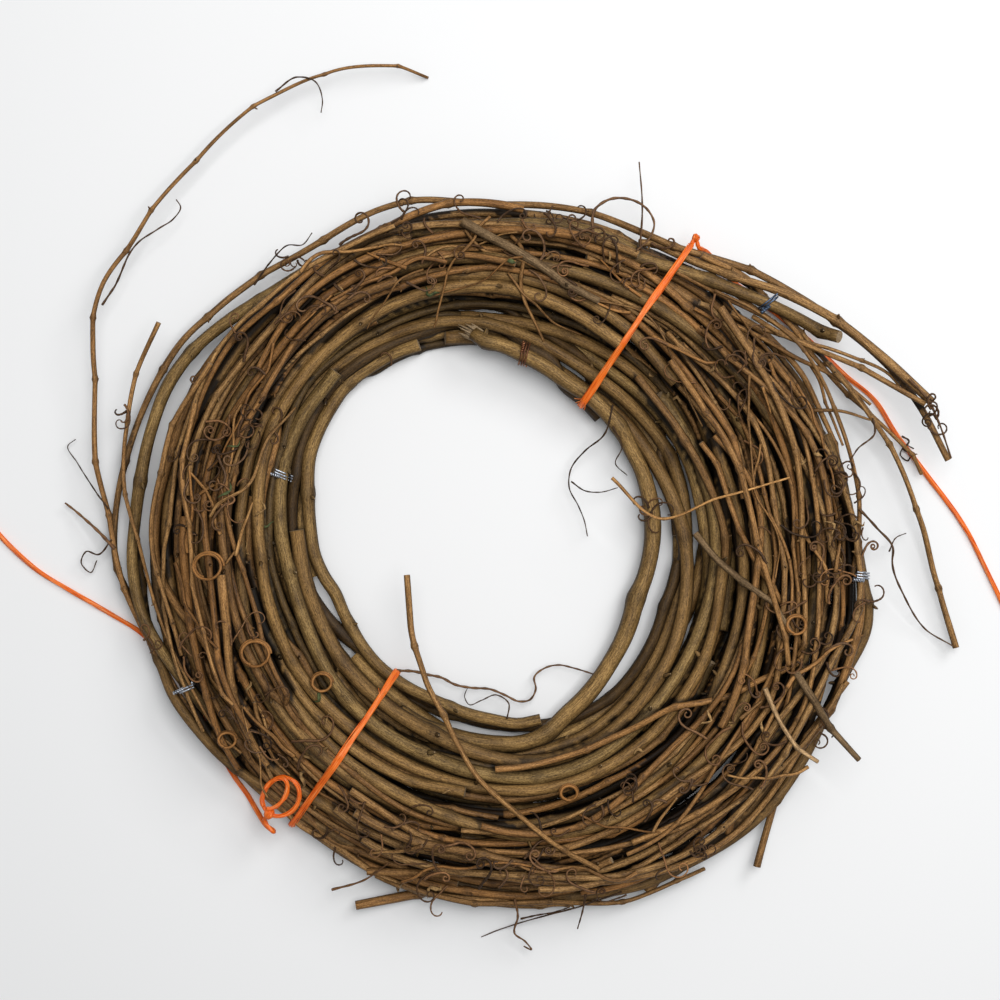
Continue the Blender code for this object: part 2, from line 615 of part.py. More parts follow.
# ---- the whole object ---------------------------------------------------------------------------
shown = [Cane(name, size, points, 1, HOLD_SHOWN) for name, (size, points) in SHOWN_CANES.items()]
filling = family_canes(np.random.default_rng(7))
tails = [tail_obstacle("right_tail", RIGHT_TAIL), tail_obstacle("left_tail", LEFT_TAIL)]
settle(shown + filling + tails, len(tails))

canes = shown + filling
pile = Pile()
for cane in canes:
    brown = cane.thickness < 3.5 or cane.name.startswith("outer")
    build_cane(cane, "brown_cane" if brown else "olive_cane")
    pile.add(cane_points(cane), cane.thickness)

upper_discs = build_tie("upper_tie", pile, canes, UPPER_TIE)
build_tie("lower_tie", pile, canes, LOWER_TIE)
build_upper_knot(upper_discs)
for wire in WIRES:
    build_wire(wire, canes)
build_slip_knot(pile)
build_kinked_stick(pile, "brown_cane")
for name, (size, points) in STICKS.items():
    look = "brown_cane" if name == "centre_stick" else "grey_wood"
    build_stick(name, pile, size, points, look, name == "centre_stick")
build_tail("right_tail", RIGHT_TAIL)
build_tail("left_tail", LEFT_TAIL)
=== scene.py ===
"""The looks of a grapevine coil: barked canes with knuckles and buds, curling tendrils, split-film
twine and wire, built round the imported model.  Metres, +Z up; the ring lies on the floor at z = 0."""
import math

import bpy
import numpy as np
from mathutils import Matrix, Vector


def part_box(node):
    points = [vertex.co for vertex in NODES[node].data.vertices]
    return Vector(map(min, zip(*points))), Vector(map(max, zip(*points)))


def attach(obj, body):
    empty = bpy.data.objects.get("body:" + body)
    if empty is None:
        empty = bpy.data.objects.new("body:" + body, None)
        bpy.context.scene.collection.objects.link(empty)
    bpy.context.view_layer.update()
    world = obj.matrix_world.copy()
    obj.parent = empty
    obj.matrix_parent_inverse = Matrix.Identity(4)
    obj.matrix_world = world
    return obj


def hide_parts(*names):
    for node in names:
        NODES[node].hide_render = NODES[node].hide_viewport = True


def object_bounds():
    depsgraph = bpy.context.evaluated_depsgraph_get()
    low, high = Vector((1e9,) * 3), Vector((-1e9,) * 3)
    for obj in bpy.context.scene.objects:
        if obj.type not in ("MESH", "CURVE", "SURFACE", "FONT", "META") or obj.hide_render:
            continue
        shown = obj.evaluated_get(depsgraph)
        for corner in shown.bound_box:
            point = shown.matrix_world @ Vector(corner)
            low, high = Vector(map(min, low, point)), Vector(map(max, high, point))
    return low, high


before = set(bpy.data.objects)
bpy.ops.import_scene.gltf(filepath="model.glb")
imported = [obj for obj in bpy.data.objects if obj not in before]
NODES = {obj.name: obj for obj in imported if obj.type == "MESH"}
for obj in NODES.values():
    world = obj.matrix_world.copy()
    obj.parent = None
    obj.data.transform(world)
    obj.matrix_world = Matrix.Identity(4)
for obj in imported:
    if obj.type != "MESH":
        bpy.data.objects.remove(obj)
cad_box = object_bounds()
chance = np.random.default_rng(11)

MM = 0.001
TURN = 2 * math.pi
UP = np.array((0.0, 0.0, 1.0))
RING_AXIS = np.array((-0.029, -0.038, 0.0))      # the axis that every cane is drawn about
STATIONS = 48                                    # radial planes that hold the canes' sections
STEP = 360.0 / STATIONS
FIRST_STATION = 10.5
TIE_AZIMUTHS = {"upper_tie": 55.5, "lower_tie": 235.5}
TWINE_WIDTH = 0.0039
TWINE_THICKNESS = 0.0016
TAIL_DIAMETER = 0.003

# ---- camera -------------------------------------------------------------------------------------
VIEW_WIDTH = 0.65
CAMERA_HEIGHT = 1.35
RING_MIDDLE_HEIGHT = 0.028
VIEW_MIDDLE = (-0.0186, -0.0081)
SENSOR = 36.0

camera_data = bpy.data.cameras.new("camera")
camera_data.sensor_width = SENSOR
camera_data.lens = SENSOR * (CAMERA_HEIGHT - RING_MIDDLE_HEIGHT) / VIEW_WIDTH
camera = bpy.data.objects.new("camera", camera_data)
bpy.context.scene.collection.objects.link(camera)
camera.location = (*VIEW_MIDDLE, CAMERA_HEIGHT)
bpy.context.scene.camera = camera
bpy.context.scene.view_settings.view_transform = "Standard"


# ---- materials ----------------------------------------------------------------------------------
class Shader:
    """A Principled material and the few node helpers that the materials below share."""

    def __init__(self, name, **inputs):
        self.material = bpy.data.materials.new(name)
        self.material.use_nodes = True
        self.tree = self.material.node_tree
        self.main = self.tree.nodes["Principled BSDF"]
        for socket, value in inputs.items():
            self.main.inputs[socket.replace("_", " ")].default_value = value

    def node(self, kind, **inputs):
        node = self.tree.nodes.new(kind)
        for socket, value in inputs.items():
            self.set(node, socket.replace("_", " "), value)
        return node

    def set(self, node, socket, value):
        if isinstance(value, bpy.types.NodeSocket):
            self.tree.links.new(value, node.inputs[socket])
        else:
            node.inputs[socket].default_value = value

    def attribute(self, name):
        node = self.node("ShaderNodeAttribute")
        node.attribute_name = name
        return node.outputs["Vector"]

    def noise(self, vector, scale, detail=4.0, roughness=0.6):
        node = self.node("ShaderNodeTexNoise", Vector=vector, Scale=scale, Detail=detail, Roughness=roughness)
        return node.outputs["Fac"]

    def stretched(self, vector, along):
        """The grain coordinates with their lengthwise part scaled, so that a noise makes streaks."""
        node = self.node("ShaderNodeMapping", Vector=vector, Scale=(1.0, 1.0, along))
        return node.outputs["Vector"]

    def ramp(self, factor, stops):
        node = self.node("ShaderNodeValToRGB", Fac=factor)
        elements = node.color_ramp.elements
        while len(elements) < len(stops):
            elements.new(0.5)
        for element, (place, colour) in zip(elements, stops):
            element.position = place
            element.color = (*colour, 1.0)
        return node.outputs["Color"]

    def mix(self, factor, first, second, blend="MIX"):
        node = self.tree.nodes.new("ShaderNodeMix")
        node.data_type = "RGBA"
        node.blend_type = blend
        for socket, value in ((0, factor), (6, first), (7, second)):
            self.set(node, socket, (*value, 1.0) if isinstance(value, tuple) else value)
        return node.outputs[2]

    def maths(self, operation, first, second):
        node = self.tree.nodes.new("ShaderNodeMath")
        node.operation = operation
        self.set(node, 0, first)
        self.set(node, 1, second)
        return node.outputs[0]

    def weighted(self, *parts):
        """The sum of sockets, each times its weight."""
        total = self.maths("MULTIPLY", *parts[0])
        for part in parts[1:]:
            total = self.maths("ADD", total, self.maths("MULTIPLY", *part))
        return total

    def bump(self, height, strength, distance):
        node = self.node("ShaderNodeBump", Height=height, Strength=strength, Distance=distance)
        self.set(self.main, "Normal", node.outputs["Normal"])

    def colour(self, socket):
        self.set(self.main, "Base Color", socket)

    def rough(self, factor, low, high):
        node = self.node("ShaderNodeMapRange", Value=factor, To_Min=low, To_Max=high)
        self.set(self.main, "Roughness", node.outputs["Result"])


def bark(name, dark, middle, light, warm, gloss):
    """Dry vine bark: long fibres, soft blotches, darker knuckles, and each cane its own tone.

    The tone attribute holds how warm the cane is, how bright (its own tone times the painted shade on its
    sides, underside and deep in the pile), and how near a point is to a knuckle.
    """
    shader = Shader(name, Specular_IOR_Level=gloss)
    grain = shader.attribute("grain")
    split = shader.node("ShaderNodeSeparateXYZ", Vector=shader.attribute("tone"))
    warmth, brightness, knuckle = split.outputs
    fibres = shader.noise(shader.stretched(grain, 0.05), 3000.0, 3.0, 0.65)
    strips = shader.noise(shader.stretched(grain, 0.05), 1300.0, 3.0, 0.55)
    flecks = shader.noise(shader.stretched(grain, 0.3), 2400.0, 2.0, 0.6)
    blotches = shader.noise(shader.stretched(grain, 0.4), 80.0, 4.0, 0.6)
    streaks = shader.weighted((fibres, 0.3), (strips, 0.32), (flecks, 0.38))
    base = shader.ramp(streaks, [(0.37, dark), (0.48, middle), (0.61, light)])
    base = shader.mix(warmth, base, shader.ramp(streaks, [(0.36, dark), (0.58, warm)]))
    patchy = shader.ramp(blotches, [(0.34, (0.5, 0.45, 0.4)), (0.5, (1.0, 1.0, 1.0)),
                                    (0.7, (1.25, 1.22, 1.18))])
    base = shader.mix(0.7, base, patchy, "MULTIPLY")
    base = shader.mix(knuckle, base, shader.mix(0.4, base, dark))
    # brightness brings in each cane's own tone together with its painted shade
    bright = shader.node("ShaderNodeCombineColor", Red=brightness, Green=brightness, Blue=brightness)
    base = shader.mix(1.0, base, bright.outputs["Color"], "MULTIPLY")
    shader.colour(base)
    shader.rough(blotches, 0.42, 0.78)
    shader.bump(streaks, 0.55, 0.0005)
    return shader.material


def cut_wood():
    """The pale end of a cut cane."""
    shader = Shader("cut_wood", Roughness=0.85)
    grain = shader.attribute("grain")
    pores = shader.noise(grain, 1800.0, 3.0, 0.7)
    shader.colour(shader.ramp(pores, [(0.4, (0.16, 0.1, 0.05)), (0.6, (0.42, 0.3, 0.17))]))
    shader.bump(pores, 0.5, 0.0003)
    return shader.material


def film_twine():
    """Split polypropylene film: glossy orange fibres with deep streaks, and pale streaks that are painted
    highlights.
    """
    shader = Shader("film_twine", Specular_IOR_Level=0.3)
    grain = shader.attribute("grain")
    fibres = shader.noise(shader.stretched(grain, 0.02), 3200.0, 3.0, 0.6)
    folds = shader.noise(shader.stretched(grain, 0.08), 900.0, 2.0, 0.5)
    streaks = shader.weighted((fibres, 0.6), (folds, 0.4))
    # the palest stop, (0.98, 0.48, 0.22), is a painted highlight along the fibres
    shader.colour(shader.ramp(streaks, [(0.36, (0.42, 0.04, 0.003)), (0.46, (0.8, 0.13, 0.007)),
                                        (0.56, (0.9, 0.2, 0.018)), (0.66, (0.98, 0.48, 0.22))]))
    shader.rough(folds, 0.22, 0.5)
    shader.bump(streaks, 0.7, 0.0005)
    return shader.material


def wire_metal(name, deep, bright, roughness):
    """Dull wire with worn streaks."""
    shader = Shader(name, Metallic=0.9)
    grain = shader.attribute("grain")
    wear = shader.noise(shader.stretched(grain, 0.3), 500.0, 4.0, 0.6)
    shader.colour(shader.ramp(wear, [(0.35, deep), (0.62, bright)]))
    shader.rough(wear, roughness, roughness + 0.2)
    shader.bump(wear, 0.2, 0.0002)
    return shader.material


def dry_leaf(name, dark, light):
    """A scrap of dry leaf."""
    shader = Shader(name, Roughness=0.8)
    blotches = shader.noise(shader.attribute("grain"), 350.0, 4.0, 0.6)
    shader.colour(shader.ramp(blotches, [(0.35, dark), (0.65, light)]))
    shader.bump(blotches, 0.5, 0.0004)
    return shader.material


OLIVE_BARK = bark("olive_bark", (0.032, 0.018, 0.006), (0.195, 0.116, 0.037), (0.5, 0.322, 0.115),
                  (0.34, 0.172, 0.053), 0.22)
BROWN_BARK = bark("brown_bark", (0.036, 0.018, 0.006), (0.25, 0.13, 0.043), (0.6, 0.352, 0.135),
                  (0.42, 0.188, 0.054), 0.2)
TENDRIL_BARK = bark("tendril_bark", (0.012, 0.007, 0.005), (0.045, 0.024, 0.012), (0.1, 0.055, 0.026),
                    (0.16, 0.075, 0.028), 0.2)
GREY_BARK = bark("grey_bark", (0.04, 0.025, 0.012), (0.15, 0.097, 0.05), (0.34, 0.235, 0.125),
                 (0.25, 0.14, 0.06), 0.1)
CUT_WOOD = cut_wood()
BROWN_CANE, OLIVE_CANE, GREY_CANE = (BROWN_BARK, CUT_WOOD), (OLIVE_BARK, CUT_WOOD), (GREY_BARK, CUT_WOOD)
TWINE = film_twine()
STEEL = wire_metal("steel", (0.2, 0.22, 0.26), (0.62, 0.65, 0.7), 0.3)
BLUE_STEEL = wire_metal("blue_steel", (0.03, 0.05, 0.09), (0.16, 0.22, 0.32), 0.35)
COPPER = wire_metal("copper", (0.07, 0.03, 0.02), (0.4, 0.17, 0.08), 0.38)


# ---- curves and skins ---------------------------------------------------------------------------
def smooth_path(points, spacing):
    """Points a regular distance apart on a smooth curve through the given ones."""
    points = np.asarray(points, dtype=float)
    along = lengths_along(points)
    slopes = np.gradient(points, along, axis=0)
    places = np.linspace(0, along[-1], max(3, round(along[-1] / spacing) + 1))
    leg = np.clip(np.searchsorted(along, places, side="right") - 1, 0, len(points) - 2)
    span = (along[leg + 1] - along[leg])[:, None]
    t = (places[:, None] - along[leg][:, None]) / span
    return ((2 * t**3 - 3 * t**2 + 1) * points[leg] + (t**3 - 2 * t**2 + t) * span * slopes[leg]
            + (3 * t**2 - 2 * t**3) * points[leg + 1] + (t**3 - t**2) * span * slopes[leg + 1])


def unit(vectors):
    """Vectors scaled to length one."""
    return vectors / np.maximum(np.linalg.norm(vectors, axis=-1, keepdims=True), 1e-12)


def frames_along(path):
    """Two directions square to the path at each point, turning as little as they can."""
    tangents = unit(np.gradient(path, axis=0))
    first = np.cross((0.0, 0.0, 1.0), tangents[0])
    if np.linalg.norm(first) < 0.1:
        first = np.cross((1.0, 0.0, 0.0), tangents[0])
    normals = np.zeros_like(path)
    normals[0] = unit(first)
    for place in range(1, len(path)):
        carried = normals[place - 1] - tangents[place] * (normals[place - 1] @ tangents[place])
        normals[place] = carried / max(np.linalg.norm(carried), 1e-9)
    return normals, np.cross(tangents, normals)


def lengths_along(path):
    """Distance along the path at each of its points."""
    return np.concatenate(([0.0], np.cumsum(np.linalg.norm(np.diff(path, axis=0), axis=1))))


def at_places(places, along, line):
    """The points of a line of straight legs at the given places along it."""
    return np.stack([np.interp(places, along, values) for values in line.T], axis=-1)


def angles_round(sides):
    """The angles of a section's points."""
    return TURN * np.arange(sides) / sides


PILE_SHADE_FROM = 1.12                                # painted shade in the pile: bark this high in the pile keeps its brightness
PILE_SHADE_PER_METRE = 78.0
PILE_SHADE_DARKEST = 0.08
PAINTED_UNDERSIDE = 0.2                                  # painted shade: how bright a cane's sides and underside are painted


class Skein:
    """Gathers tubes into one mesh with the grain and tone that the bark materials read."""

    def __init__(self):
        self.vertices, self.faces, self.face_slots, self.smooth = [], [], [], []
        self.grain, self.tone = [], []
        self.count = 0

    def rings(self, rings, grain, tone):
        """Skin and cap a chain of rings: an array of (points, sides, 3), with nothing below the floor."""
        number, sides = rings.shape[:2]
        rings = rings.copy()
        rings[..., 2] = np.maximum(rings[..., 2], 0.0)
        start = self.count + sides * np.arange(number - 1)[:, None]
        side = np.arange(sides)[None, :]
        after = (side + 1) % sides
        quads = np.stack((start + side, start + after, start + after + sides, start + side + sides), axis=-1)
        self.faces.extend(quads.reshape(-1, 4).tolist())
        self.face_slots.extend([0] * (sides * (number - 1)))
        self.smooth.extend([True] * (sides * (number - 1)))
        last = self.count + sides * (number - 1)
        self.faces.append(list(range(self.count + sides - 1, self.count - 1, -1)))
        self.faces.append(list(range(last, last + sides)))
        self.face_slots.extend([1, 1])
        self.smooth.extend([False, False])
        self.vertices.append(rings.reshape(-1, 3))
        self.grain.append(grain.reshape(-1, 3))
        self.tone.append(tone.reshape(-1, 3))
        self.count += number * sides

    def tube(self, path, radii, sides=8, tone=(0.3, 1.0), knuckle=None, shape=None):
        """A tube along the path, of one radius or many; shape scales it at each point and side."""
        normals, binormals = frames_along(path)
        angles = angles_round(sides)
        reach = np.broadcast_to(radii, len(path))[:, None] * np.ones(sides)
        if shape is not None:
            reach = reach * shape
        across = np.cos(angles)[None, :, None] * normals[:, None, :]
        across = across + np.sin(angles)[None, :, None] * binormals[:, None, :]
        rings = path[:, None, :] + across * reach[:, :, None]
        along = lengths_along(path) + chance.uniform(0, 40)
        grain = np.stack((np.cos(angles)[None, :] * reach, np.sin(angles)[None, :] * reach,
                          np.repeat(along[:, None], sides, axis=1)), axis=-1)
        spots = np.zeros(len(path)) if knuckle is None else knuckle
        tones = np.zeros(grain.shape)
        # painted shade: bark facing up keeps its tone, and its sides and underside are painted darker
        painted_side_shade = PAINTED_UNDERSIDE + (1 - PAINTED_UNDERSIDE) * np.clip(across[..., 2], 0, 1)
        tones[..., 0], tones[..., 1], tones[..., 2] = tone[0], tone[1] * painted_side_shade, spots[:, None]
        self.rings(rings, grain, tones)

    def shade_deep_in_pile(self, cover):
        """Paint shade on what lies deep in the pile, darker the deeper it lies; cover gives the pile's top.
        """
        for points, tones in zip(self.vertices, self.tone):
            depth = cover(points) - points[:, 2]
            tones[:, 1] *= np.clip(PILE_SHADE_FROM - PILE_SHADE_PER_METRE * depth, PILE_SHADE_DARKEST, 1.0)

    def build(self, name, materials=BROWN_CANE, slot="brown_cane", replaced=()):
        """Make the object, let it ride on the one body, and hide the nodes that it stands for."""
        mesh = bpy.data.meshes.new(name)
        mesh.from_pydata(np.concatenate(self.vertices).tolist(), [], self.faces)
        for material in materials:
            mesh.materials.append(material)
        mesh.polygons.foreach_set("material_index", np.minimum(self.face_slots, len(materials) - 1))
        mesh.polygons.foreach_set("use_smooth", self.smooth)
        for attribute, values in (("grain", self.grain), ("tone", self.tone)):
            layer = mesh.attributes.new(attribute, "FLOAT_VECTOR", "POINT")
            layer.data.foreach_set("vector", np.concatenate(values).ravel())
        mesh.update()
        piece = bpy.data.objects.new(name, mesh)
        bpy.context.scene.collection.objects.link(piece)
        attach(piece, "root")
        if replaced:
            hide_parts(*replaced)
        return piece


def polar(azimuth, radius, height=0.0):
    """A point by azimuth in degrees about the ring's axis, radius and height."""
    turn = np.radians(azimuth)
    parts = np.broadcast_arrays(radius * np.cos(turn), radius * np.sin(turn), height)
    return RING_AXIS + np.stack(parts, axis=-1)


def placed(x, y, height=0):
    """A point by millimetres from the foot of the ring's axis."""
    return RING_AXIS + np.array((x, y, height)) * MM


def azimuth_of(points):
    """Azimuth about the ring's axis, in degrees."""
    return np.degrees(np.arctan2(points[..., 1] - RING_AXIS[1], points[..., 0] - RING_AXIS[0]))


def radius_of(points):
    """Distance from the ring's axis."""
    return np.linalg.norm((points - RING_AXIS)[..., :2], axis=-1)


def station_of(azimuth):
    """How many stations an azimuth is past the first one."""
    return (azimuth - FIRST_STATION) / STEP


def radial_frame(azimuth):
    """The directions away from the ring's axis and along the ring, at an azimuth in degrees."""
    turn = math.radians(azimuth)
    return np.array((math.cos(turn), math.sin(turn), 0.0)), np.array((-math.sin(turn), math.cos(turn), 0.0))


# ---- twine --------------------------------------------------------------------------------------
FOLD_DEPTH = 0.09
FIBRE_RADIUS = 0.00018


def strand(skein, path, reach, sides, twist, fibres):
    """A strand of film twine: a slowly twisting folded core, and fine fibres wandering over it."""
    angles = angles_round(sides)
    turns = np.linspace(0, twist, len(path))[:, None]
    folds = 1 + FOLD_DEPTH * (np.sin(3 * angles + turns + 1.0) + 0.7 * np.sin(5 * angles - 1.6 * turns))
    skein.tube(path, reach * 0.9, sides, shape=folds)
    normals, binormals = frames_along(path)
    along = np.linspace(0, 1, len(path))
    for _ in range(fibres):
        angle = chance.uniform(0, TURN) + chance.uniform(-9, 9) * along
        angle = angle + 0.8 * np.sin(along * chance.uniform(8, 25) + chance.uniform(0, 6))
        out = reach * chance.uniform(0.92, 1.12)
        line = path + out * (np.cos(angle)[:, None] * normals + np.sin(angle)[:, None] * binormals)
        skein.tube(line, FIBRE_RADIUS, 5)


RIGHT_TAIL = [(54.2, 239, 27), (53, 241, 20), (51.5, 241, 13), (49.5, 240, 7), (47, 240, 3), (43.5, 242, 1.6),
              (38.5, 247, 1.6), (31, 256, 1.6), (25, 265, 1.6), (21, 275, 1.6), (15, 283, 1.6), (9, 297, 1.6),
              (3, 316, 1.6), (-4, 337, 1.6), (-7, 348, 1.6)]
LEFT_TAIL = [(233.6, 231, 24), (232, 233, 15), (229.5, 231, 7), (226.5, 228, 2.4), (223, 226, 1.6),
             (217, 222, 1.6), (211, 219, 1.6), (205, 220, 1.6), (200, 224, 1.6), (195, 233, 1.6),
             (190, 254, 1.6), (186, 278, 1.6), (183, 298, 1.6), (180, 315, 1.6), (177, 331, 1.6)]


def twine_tail(name, route):
    """A loose tail of twine: one fibrous strand along its route, cut off square at its far end."""
    corners = [polar(azimuth, radius * MM, height * MM) for azimuth, radius, height in route]
    path = smooth_path(corners, 0.0022)
    path[:, 2] = np.maximum(path[:, 2], TAIL_DIAMETER / 2)
    skein = Skein()
    strand(skein, path, TAIL_DIAMETER / 2, 16, 30.0, 7)
    piece = skein.build(name + "_twine", [TWINE], "orange_twine", [name])
    tuple(float(value) for value in path[0])
    float(lengths_along(path)[-1])
    [tuple(float(value) for value in point) for point in path]
    return path


right_path = twine_tail("right_tail", RIGHT_TAIL)
left_path = twine_tail("left_tail", LEFT_TAIL)


# ---- the canes' courses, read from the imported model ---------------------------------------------
def mesh_arrays(name):
    """A node's distinct vertices and its edges between them."""
    mesh = NODES[name].data
    points = np.array([vertex.co[:] for vertex in mesh.vertices])
    keys, index = np.unique(np.round(points, 6), axis=0, return_inverse=True)
    edges = index.ravel()[np.array([edge.vertices[:] for edge in mesh.edges])]
    return keys, edges


HEXAGON = math.cos(math.pi / 6)                  # half a six-sided section's height over its radius
SECTION_GAP = 0.003                              # sections of a stick are further apart than this


def ring_course(name):
    """Middle points and thickness of a cane whose sections lie in the radial planes."""
    points, edges = mesh_arrays(name)
    station = np.round(station_of(azimuth_of(points))).astype(int) % STATIONS
    follows = {}
    for one, two in station[edges]:
        ahead = (two - one) % STATIONS
        if 0 < ahead <= 2:
            follows[one] = two
        elif ahead >= STATIONS - 2:
            follows[two] = one
    here = next(place for place in sorted(follows) if place not in set(follows.values()))
    order = [here]
    while order[-1] in follows:
        order.append(follows[order[-1]])
    middles = np.array([points[station == place].mean(axis=0) for place in order])
    heights = [np.ptp(points[station == place][:, 2]) for place in order]
    size = float(np.median(heights)) / 2 / HEXAGON
    steps = [(after - before) % STATIONS for before, after in zip(order, order[1:])]
    return middles, size, FIRST_STATION + STEP * (order[0] + np.cumsum([0] + steps))


def stick_course(name):
    """Middle points and thickness of a stick whose sections are square to its length."""
    points, _ = mesh_arrays(name)
    flat = points[:, :2] - points[:, :2].mean(axis=0)
    direction = np.linalg.svd(flat, full_matrices=False)[2][0]
    places = flat @ direction
    order = np.argsort(places)
    breaks = np.where(np.diff(places[order]) > SECTION_GAP)[0] + 1
    groups = np.split(order, breaks)
    middles = np.array([points[group].mean(axis=0) for group in groups])
    size = float(np.median([np.ptp(points[group][:, 2]) for group in groups])) / 2 / HEXAGON
    return middles, size


STICKS = ["centre_stick", "grey_stick_top", "grey_stick_right", "pale_stick", "cut_stick"]
OTHERS = STICKS + ["upper_tie", "lower_tie", "upper_knot", "slip_knot", "right_tail", "left_tail"]
CANES = sorted(name for name in NODES if name not in OTHERS and not name.endswith("wire")
               and not name.startswith("steel_wire"))
courses = {name: ring_course(name) for name in CANES}


# ---- canes between and below the modelled ones --------------------------------------------------
def hull_loop(points):
    """The convex outline of points in a plane, anticlockwise."""
    order = sorted(map(tuple, points))
    chains = []
    for run in (order, order[::-1]):
        chain = []
        for point in run:
            while len(chain) > 1:
                last_leg, next_leg = np.subtract(chain[-1], chain[-2]), np.subtract(point, chain[-1])
                if np.cross(last_leg, next_leg) > 0:
                    break
                chain.pop()
            chain.append(point)
        chains += chain[:-1]
    return np.array(chains)


def section_of(name, azimuth):
    """A node's points and its outline in a radial plane, with the plane's outward and square directions."""
    outward, along_ring = radial_frame(azimuth)
    points, _ = mesh_arrays(name)
    flat = np.stack(((points - RING_AXIS) @ outward, points[:, 2]), axis=-1)
    return points, hull_loop(flat), outward, along_ring


def closed_line(outline, middle, inset):
    """An outline drawn in towards its middle and closed."""
    drawn_in = outline - unit(outline - middle) * inset
    return np.vstack((drawn_in, drawn_in[:1]))


def tie_ceiling(name):
    """How high the pile reaches under a tie, as heights over radii."""
    _, outline, _, _ = section_of(name, TIE_AZIMUTHS[name])
    closed = closed_line(outline, outline.mean(axis=0), 0.0)
    dense = at_places(np.linspace(0, len(closed) - 1, 600), np.arange(len(closed)), closed)
    radii = np.linspace(outline[:, 0].min() + 0.001, outline[:, 0].max() - 0.001, 60)
    tops = [dense[np.abs(dense[:, 0] - radius) < 0.003][:, 1].max() for radius in radii]
    return radii, np.array(tops) - 2 * TWINE_THICKNESS


OPEN_SIDE = 178.0                                # azimuth where the outermost canes stand apart
OPEN_WIDTH = 0.016
BOUND_RADIUS = 0.252                             # canes further out are loose ends
EDGE_CANES = ("inner", "middle", "outer_cane", "hole", "split", "bottom_outline", "right_tied",
              "right_outline")


def ring_edges():
    """The radius of the ring's inside and outside at each station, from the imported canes."""
    inside, outside = np.full(STATIONS, 9.0), np.zeros(STATIONS)
    for name, (middles, _, azimuths) in courses.items():
        if not name.startswith(EDGE_CANES):
            continue
        for azimuth, point in zip(azimuths, middles):
            station = round(station_of(azimuth)) % STATIONS
            radius = radius_of(point)
            inside[station] = min(inside[station], radius)
            if radius < BOUND_RADIUS and not (name == "right_outline_cane" and 30 < azimuth % 360 < 330):
                outside[station] = max(outside[station], radius)
    inside = np.minimum(inside, (np.roll(inside, 1) + np.roll(inside, -1)) / 2)
    outside = np.maximum(outside, (np.roll(outside, 1) + np.roll(outside, -1)) / 2)
    for _ in range(3):
        outside = (np.roll(outside, 1) + 2 * outside + np.roll(outside, -1)) / 4
    off_open_side = np.radians(FIRST_STATION + STEP * np.arange(STATIONS) - OPEN_SIDE)
    outside = outside - OPEN_WIDTH * np.maximum(np.cos(off_open_side), 0) ** 2
    return inside, outside


INSIDE, OUTSIDE = ring_edges()
HIGHEST_FILL = 0.056
CROWN = 0.043
RIM_HEIGHT = 0.013
# Waves in a filling cane's lane: how many round the ring, and the least and most sway.
LANE_WAVES = [(1, 0.02, 0.07), (2, 0.01, 0.06), (5, 0.0, 0.02)]
# Name, how many, thinnest and thickest radius, lanes across the ring, shortest and longest turn,
# lowest and highest share of the pile's height.
FILLS = [("under_canes", 12, 0.0028, 0.0042, 0.04, 0.7, 200, 340, 0.0, 0.6),
         ("between_canes", 28, 0.0019, 0.0031, 0.36, 1.0, 120, 340, 0.2, 1.0),
         ("fine_canes", 22, 0.0012, 0.0021, 0.5, 1.0, 90, 330, 0.5, 1.12)]


def fill_courses():
    """Start stations, radii, heights and thickness of the filling canes, before they settle."""
    made = []
    for name, count, thinnest, thickest, lane_in, lane_out, shortest, longest, low, high in FILLS:
        for index in range(count):
            start = int(chance.integers(0, STATIONS))
            number = int(chance.uniform(shortest, longest) / STEP) + 1
            stations = start + np.arange(number)
            turn = np.radians(stations * STEP)
            phase = chance.uniform(0, TURN, 5)
            lane = lane_in + (lane_out - lane_in) * (index + chance.uniform(0, 1)) / count
            for shift, (waves, least, most) in zip(phase, LANE_WAVES):
                lane = lane + chance.uniform(least, most) * np.sin(waves * turn + shift)
            lane = np.clip(lane, 0.02, 1.0)
            where = stations % STATIONS
            radii = INSIDE[where] + lane * (OUTSIDE[where] - INSIDE[where])
            pile = RIM_HEIGHT + (CROWN - RIM_HEIGHT) * np.sin(math.pi * lane)
            share = chance.uniform(low, high) + 0.2 * np.sin(turn + phase[3])
            share = share + 0.1 * np.sin(3 * turn + phase[4])
            heights = pile * np.clip(share, 0.0, 1.15)
            made.append((name, stations, radii, heights, chance.uniform(thinnest, thickest)))
    return made


NESTLE = 0.94                                    # how close canes come, as a share of their radii
PUSH, EASE = 0.45, 0.35                          # how fast they part and straighten
ROUNDS = 160


